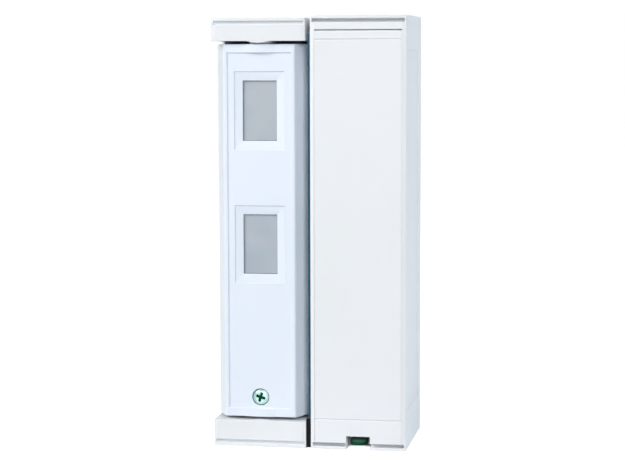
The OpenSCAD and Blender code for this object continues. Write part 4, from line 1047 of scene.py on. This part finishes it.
# %% Cells
cells_low, cells_high = box_mm("battery_cells")
contacts_low, contacts_high = box_mm("battery_contacts")
cell_r = (cells_high[1] - cells_low[1]) / 2
cell_y = (cells_high[1] + cells_low[1]) / 2
cell_xs = (cells_low[0] + cell_r, cells_high[0] - cell_r)
button_mm, bare_within_mm, turned_steps = 1.2, 6.2, 64
can_mm = cells_high[2] - cells_low[2] - button_mm
cell_foot = [(0, 0.3), (2.4, 0.3), (2.8, 0), (5.6, 0), (6.2, 0.2), (6.5, 0.15), (7.05, 0.25),
             (cell_r, 0.7)]
cell_top = [(cell_r, -2.6), (7.0, -2.1), (cell_r, -1.6), (cell_r, -0.4), (7.0, -0.1), (6.2, -0.1),
            (6.0, -0.35), (3.3, -0.35), (2.7, -0.1), (2.7, 0.9), (2.4, button_mm), (0, button_mm)]
cell_profile = cell_foot + [(radius, can_mm + height) for radius, height in cell_top]
form = bmesh.new()
for x in cell_xs:
    lathe_into(form, cell_profile, at(x, cell_y, cells_low[2]), turned_steps, bare_within_mm)
cells = finished("cells", form, body_of("battery_cells"), sleeve, nickel)
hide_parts("battery_cells")
print("cells of", round(2 * cell_r, 1), "by", round(can_mm, 1), "mm")

# %% [markdown]
# ## Springs and aerial
# Each cell stands on a conical spring, and the aerial has a coil at its foot. Both are wire wound round
# an axis, so one tree makes them: a spiral curve with a round section swept along it. The Screw modifier
# could wind a coil too, but the spiral also takes a second radius, which a cone needs.

# %% Wound wire
wire_facets, steps_per_turn = 10, 32
coil_tree, size = geometry_tree("wound wire", {
    "Turns": "Float", "Start Radius": "Float", "End Radius": "Float", "Height": "Float",
    "Wire Radius": "Float", "Steps": "Int", "Metal": "Material"})
wire = add(coil_tree, "GeometryNodeCurveSpiral", {
    "Resolution": size["Steps"], "Rotations": size["Turns"], "Start Radius": size["Start Radius"],
    "End Radius": size["End Radius"], "Height": size["Height"]})
section = add(coil_tree, "GeometryNodeCurvePrimitiveCircle", {
    "Resolution": wire_facets, "Radius": size["Wire Radius"]})
wound = add(coil_tree, "GeometryNodeCurveToMesh", {
    "Curve": wire.outputs[0], "Profile Curve": section.outputs["Curve"], "Fill Caps": True})
copy_and_coat(coil_tree, size, wound.outputs[0], "Metal")
print("wire tree has", len(coil_tree.nodes), "nodes")

# %% [markdown]
# ### Contacts
# A contact is a small plate at each end of a cell, and the lower plate carries the spring. The plates
# are bars with a fine edge, and the springs come from the tree.

# %% Contact springs and plates
strip_mm = contacts_high[2] - cells_high[2]
spring_seat = contacts_low[2] + strip_mm
spring_wire_mm, spring_turns, spring_foot_r, spring_tip_r = 0.35, 3.0, 4.0, 2.1
spring_places = [at(x, cell_y, spring_seat + spring_wire_mm) for x in cell_xs]
springs = grow("contact_springs", spring_places, coil_tree, {
    "Turns": spring_turns, "Start Radius": mm(spring_foot_r), "End Radius": mm(spring_tip_r),
    "Wire Radius": mm(spring_wire_mm), "Steps": steps_per_turn, "Metal": spring_brass,
    "Height": mm(cells_low[2] - spring_seat - 2 * spring_wire_mm)})
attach(springs, body_of("battery_contacts"))
half, strip_edge_mm = (contacts_high[1] - contacts_low[1]) / 2, 0.15
form = bmesh.new()
for x in cell_xs:
    for z in (contacts_low[2], contacts_high[2] - strip_mm):
        bar_into(form, (x - half, cell_y - half, z), (x + half, cell_y + half, z + strip_mm),
                 strip_edge_mm)
plates = finished("contact_plates", form, body_of("battery_contacts"), spring_brass)
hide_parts("battery_contacts")
print("springs of", len(springs.data.polygons), "faces")

# %% [markdown]
# ### Aerial
# The aerial is a straight rod on a small foot, with a coil round its lower half that tunes it. The rod is
# turned, and the coil has the same radius at both ends.

# %% Aerial
aerial_low, aerial_high = box_mm("antenna")
aerial_r = (aerial_high[0] - aerial_low[0]) / 2
aerial_x, aerial_y = (aerial_high[0] + aerial_low[0]) / 2, (aerial_high[1] + aerial_low[1]) / 2
aerial_mm = aerial_high[2] - aerial_low[2]
aerial_place = at(aerial_x, aerial_y, aerial_low[2])
aerial_wire_mm, aerial_turns = 0.38, 12.0
coil = grow("aerial_coil", [aerial_place @ at(0, 0, aerial_wire_mm)], coil_tree, {
    "Turns": aerial_turns, "Start Radius": mm(aerial_r - aerial_wire_mm),
    "End Radius": mm(aerial_r - aerial_wire_mm), "Wire Radius": mm(aerial_wire_mm),
    "Height": mm(aerial_mm / 2 - 2 * aerial_wire_mm), "Steps": steps_per_turn, "Metal": spring_brass})
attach(coil, body_of("antenna"))
form = bmesh.new()
lathe_into(form, [(0, 0), (2.0, 0), (2.0, 0.3), (0.9, 0.6), (0.9, aerial_mm - 0.6),
                  (0.7, aerial_mm - 0.15), (0, aerial_mm)], aerial_place, shank_facets)
rod = finished("aerial_rod", form, body_of("antenna"), spring_brass)
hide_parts("antenna")
print("aerial", round(aerial_mm, 1), "mm long with", round(aerial_turns), "turns")

# %% [markdown]
# ## Tamper plunger
# The tamper plunger is a metal pin with a rounded tip and a groove for its retaining ring. The real one
# is turned, so this one is too, and its length and radius come from the construction.

# %% Tamper plunger
out_of_wall = Matrix.Rotation(math.radians(90), 4, "X")
pin_steps = 32


def middle_of(node, depth_mm):
    """The centre of a node's box in X and Z, at a given depth, facing out of the wall."""
    low, high = box_mm(node)
    return at((low[0] + high[0]) / 2, depth_mm, (low[2] + high[2]) / 2) @ out_of_wall


pin_low, pin_high = box_mm("tamper_plunger")
pin_mm, pin_r, neck_r = pin_high[1] - pin_low[1], (pin_high[0] - pin_low[0]) / 2, 1.3
form = bmesh.new()
lathe_into(form, [(0, 0), (pin_r, 0), (pin_r, 6.2), (neck_r, 6.35), (neck_r, 6.85), (pin_r, 7.0),
                  (pin_r, pin_mm - 0.7), (pin_r - 0.2, pin_mm - 0.25), (pin_r - 0.7, pin_mm),
                  (0, pin_mm)], middle_of("tamper_plunger", pin_high[1]), pin_steps)
pin = finished("plunger_pin", form, body_of("tamper_plunger"), stainless)
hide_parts("tamper_plunger")
print("pin", round(pin_mm, 1), "mm")

# %% [markdown]
# ## Signal lamp
# The lamp is a small round diode with a flange and a dome. A ball on a cylinder would leave a seam, so
# the dome is part of one turned outline, in rings at even angles.

# %% Signal lamp
lamp_low, lamp_high = box_mm("status_led")
lamp_r, lamp_mm = (lamp_high[0] - lamp_low[0]) / 2, lamp_high[1] - lamp_low[1]
bulb_r, dome_rings = lamp_r - 0.12, 6
dome_angles = [math.pi / 2 * i / dome_rings for i in range(dome_rings)]
dome = [(bulb_r * math.cos(a), lamp_mm - bulb_r + bulb_r * math.sin(a)) for a in dome_angles]
form = bmesh.new()
lathe_into(form, [(0, 0), (lamp_r, 0), (lamp_r, 0.7), (bulb_r, 0.8), *dome, (0, lamp_mm)],
           middle_of("status_led", lamp_high[1]), pin_steps)
diode = finished("signal_lamp", form, body_of("status_led"), red_epoxy)
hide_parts("status_led")
print("lamp", round(lamp_mm, 1), "mm")

# %% [markdown]
# ## Filter windows
# Behind the square opening of each sensor can lies its filter, a dark plate that only heat rays pass. It
# is a thin bar a little behind the front of the can.

# %% Filter windows
filter_half_mm, filter_in_mm, filter_mm, filter_edge_mm = 1.95, 0.3, 0.4, 0.05
form = bmesh.new()
for node in ("upper_pir_sensor", "lower_pir_sensor"):
    low, high = box_mm(node)
    x, z = (low[0] + high[0]) / 2, (low[2] + high[2]) / 2
    bar_into(form, (x - filter_half_mm, low[1] + filter_in_mm, z - filter_half_mm),
             (x + filter_half_mm, low[1] + filter_in_mm + filter_mm, z + filter_half_mm),
             filter_edge_mm)
finished("filter_windows", form, body_of("upper_pir_sensor"), dark_filter)
print("filters", 2 * filter_half_mm, "mm square")

# %% [markdown]
# ## Terminal screws
# Each way of a terminal block has its own clamping screw, sunk in the round hole on its front. It is a
# small pan head screw, so the same tree makes it, with fewer facets, because nothing outside shows it.

# %% Terminal screws
clamp_head, clamp_shank, clamp_cross, clamp_in_mm = (1.2, 0.8), (0.7, 2.1), (0.85, 0.35), 1.5
first_turn_deg, next_turn_deg = 23, 41
for node, name, ways in (("head_terminal_block", "head_clamps", 6),
                         ("box_terminal_block", "box_clamps", 3)):
    low, high = box_mm(node)
    pitch = (high[0] - low[0]) / ways
    seat_y, seat_z = low[1] + clamp_in_mm, (low[2] + high[2]) / 2 + (high[2] - low[2]) / 4
    places = [seated((low[0] + pitch * (i + 0.5), seat_y, seat_z), into_wall,
                     first_turn_deg + next_turn_deg * i) for i in range(ways)]
    clamps = screw_set(name, None, places, clamp_head, clamp_shank, clamp_cross,
                       green_zinc, shaded_zinc_copy, facets=24)
    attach(clamps, body_of(node))
    print(name, len(clamps.data.polygons), "faces")

# %% [markdown]
# ## Small parts on the boards
# The boards carry a radio can, a controller, a relay and many small parts. A small part is a ceramic
# block with a tinned cap at each end. Each could be modelled on its own, but they are all alike, so a
# tree makes one and puts a copy on each point.

# %% Small part with end caps
chip_tree, size = geometry_tree("capped blocks", {
    "Length": "Float", "Width": "Float", "Height": "Float", "Body": "Material", "Caps": "Material"})
cap_share, cap_proud, cap_middle_share = 0.24, 1.08, 0.42
block_size = add(chip_tree, "ShaderNodeCombineXYZ", {
    "X": size["Length"], "Y": size["Width"], "Z": size["Height"]})
block = add(chip_tree, "GeometryNodeMeshCube", {"Size": block_size.outputs[0]})
cap_size = add(chip_tree, "ShaderNodeVectorMath", {
    0: block_size.outputs[0], 1: (cap_share, cap_proud, cap_proud)}, operation="MULTIPLY")
cap = add(chip_tree, "GeometryNodeMeshCube", {"Size": cap_size.outputs[0]})
cap = add(chip_tree, "GeometryNodeStoreNamedAttribute", {
    "Geometry": cap.outputs["Mesh"], "Name": "cap", "Value": True}, data_type="BOOLEAN", domain="FACE")
pieces = [block.outputs["Mesh"]]
for side in (cap_middle_share, -cap_middle_share):
    move = add(chip_tree, "ShaderNodeVectorMath", {0: block_size.outputs[0], 1: (side, 0, 0)},
               operation="MULTIPLY")
    end = add(chip_tree, "GeometryNodeTransform", {
        "Geometry": cap.outputs[0], "Translation": move.outputs[0]})
    pieces.append(end.outputs[0])
chip = add(chip_tree, "GeometryNodeJoinGeometry", {"Geometry": pieces})
copy_and_coat(chip_tree, size, chip.outputs[0], "Body", "cap", "Caps")
print("block tree has", len(chip_tree.nodes), "nodes")

# %% [markdown]
# ### Where the small parts lie
# A machine places such parts along two directions, and tracks run between them. So the points lie on a
# grid with places left out at random, with a fixed seed, and keep clear of everything else there.


# %% Scattered small parts
def taken(nodes, margin_mm=1.6):
    """The areas in X and Z that nodes take on a board, with a margin."""
    boxes = [box_mm(node) for node in nodes]
    return [(low[0] - margin_mm, low[2] - margin_mm, high[0] + margin_mm, high[2] + margin_mm)
            for low, high in boxes]


def free_places(board, areas, count, rim_mm=3.0, grid_mm=(3.2, 2.6), seed=7):
    """Random places on a board's front that keep clear of the taken areas, every third one turned."""
    low, high = box_mm(board)
    across = int((high[0] - low[0] - 2 * rim_mm) / grid_mm[0])
    along = int((high[2] - low[2] - 2 * rim_mm) / grid_mm[1])
    grid = [(low[0] + rim_mm + grid_mm[0] * i, low[2] + rim_mm + grid_mm[1] * j)
            for i in range(across + 1) for j in range(along + 1)]
    free = [(x, z) for x, z in grid if not any(a < x < c and b < z < d for a, b, c, d in areas)]
    chosen = random.Random(seed).sample(free, min(count, len(free)))
    return [seated((x, low[1] - small_part_mm[2] / 2, z), into_wall, 90 if i % 3 == 0 else 0)
            for i, (x, z) in enumerate(chosen)]


def round_screws(corners, room_mm=4.0):
    """The areas that the board's own screws take."""
    return [(x - room_mm, z - room_mm, x + room_mm, z + room_mm) for x, z in corners]


small_part_mm = (2.0, 1.25, 0.6)
head_areas = taken(["upper_optic_chamber", "lower_optic_chamber", "dip_switch", "head_terminal_block",
                    "status_led"]) + round_screws(head_board_corners)
box_areas = taken(["transmitter_parts", "box_terminal_block",
                   "antenna"]) + round_screws(box_board_corners)
for name, board, areas, count in (("sensor_board_parts", "head_board", head_areas, 70),
                                  ("radio_board_parts", "transmitter_board", box_areas, 24)):
    places = free_places(board, areas, count)
    parts = grow(name, places, chip_tree, {
        "Length": mm(small_part_mm[0]), "Width": mm(small_part_mm[1]), "Height": mm(small_part_mm[2]),
        "Body": ceramic, "Caps": tin})
    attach(parts, body_of(board))
    print(name, len(places), "parts")

# %% [markdown]
# ### Radio can, controller and relay
# The big parts of the radio board are one node with three solids, so the solids are told apart by which
# vertices hang together. The can gets five pressed ribs round its wall, the controller its legs, and the
# relay a plain moulded case.


# %% Radio can, controller and relay
def solids_of(node):
    """The box of each separate solid of a node in millimetres, lowest first."""
    form = bmesh.new()
    form.from_mesh(frame["nodes"][node].data)
    bmesh.ops.remove_doubles(form, verts=form.verts, dist=mm(weld_mm))
    left, boxes = set(form.verts), []
    while left:
        todo = [left.pop()]
        found = list(todo)
        while todo:
            for edge in todo.pop().link_edges:
                fresh_ones = [vert for vert in edge.verts if vert in left]
                left.difference_update(fresh_ones)
                todo += fresh_ones
                found += fresh_ones
        boxes.append(([min(v.co[i] for v in found) * 1000 for i in range(3)],
                      [max(v.co[i] for v in found) * 1000 for i in range(3)]))
    form.free()
    return sorted(boxes, key=lambda box: box[0][2])


by_depth = sorted(solids_of("transmitter_parts"), key=lambda box: box[1][1] - box[0][1])
(chip_low, chip_high), (can_low, can_high), (relay_low, relay_high) = by_depth
can_edge_mm, ribs, rib_half_mm, rib_proud_mm, rib_in_mm, rib_edge_mm = 0.35, 5, 0.5, 0.12, 0.5, 0.1
form = bmesh.new()
bar_into(form, can_low, can_high, can_edge_mm)
for i in range(ribs):
    z = can_low[2] + (can_high[2] - can_low[2]) * (i + 1) / (ribs + 1)
    bar_into(form, (can_low[0] - rib_proud_mm, can_low[1] + rib_in_mm, z - rib_half_mm),
             (can_high[0] + rib_proud_mm, can_high[1], z + rib_half_mm), rib_edge_mm)
can = finished("radio_can", form, body_of("transmitter_parts"), nickel)
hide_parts("transmitter_parts")

leg_room_mm, chip_lift_mm, chip_edge_mm, relay_edge_mm = 0.8, 0.15, 0.15, 0.5
form = bmesh.new()
bar_into(form, (chip_low[0] + leg_room_mm, chip_low[1], chip_low[2] + leg_room_mm),
         (chip_high[0] - leg_room_mm, chip_high[1] - chip_lift_mm, chip_high[2] - leg_room_mm),
         chip_edge_mm)
bar_into(form, relay_low, relay_high, relay_edge_mm)
finished("controller_and_relay", form, body_of("transmitter_parts"), black_epoxy)
print("radio can with", ribs, "ribs")

# %% [markdown]
# ### Legs of the controller
# The controller is a flat package with legs on all four sides. A leg is so small that a block does for
# it, so the tree of the small parts makes the legs too, with tin on the block and its caps.

# %% Legs of the controller
legs_a_side, row_in_mm, leg_middle_mm, leg_up_mm, leg_mm = 7, 1.0, 0.5, 0.25, (0.9, 0.4, 0.3)
seat_y = chip_high[1] - leg_up_mm
legs = []
for i in range(legs_a_side):
    along = (i + 0.5) / legs_a_side
    x, z = [chip_low[k] + row_in_mm + (chip_high[k] - chip_low[k] - 2 * row_in_mm) * along
            for k in (0, 2)]
    legs += [seated((x, seat_y, edge_z), into_wall, 90)
             for edge_z in (chip_low[2] + leg_middle_mm, chip_high[2] - leg_middle_mm)]
    legs += [seated((edge_x, seat_y, z), into_wall, 0)
             for edge_x in (chip_low[0] + leg_middle_mm, chip_high[0] - leg_middle_mm)]
pins = grow("controller_legs", legs, chip_tree, {
    "Length": mm(leg_mm[0]), "Width": mm(leg_mm[1]), "Height": mm(leg_mm[2]), "Body": tin, "Caps": tin})
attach(pins, body_of("transmitter_parts"))
print("controller has", len(legs), "legs")
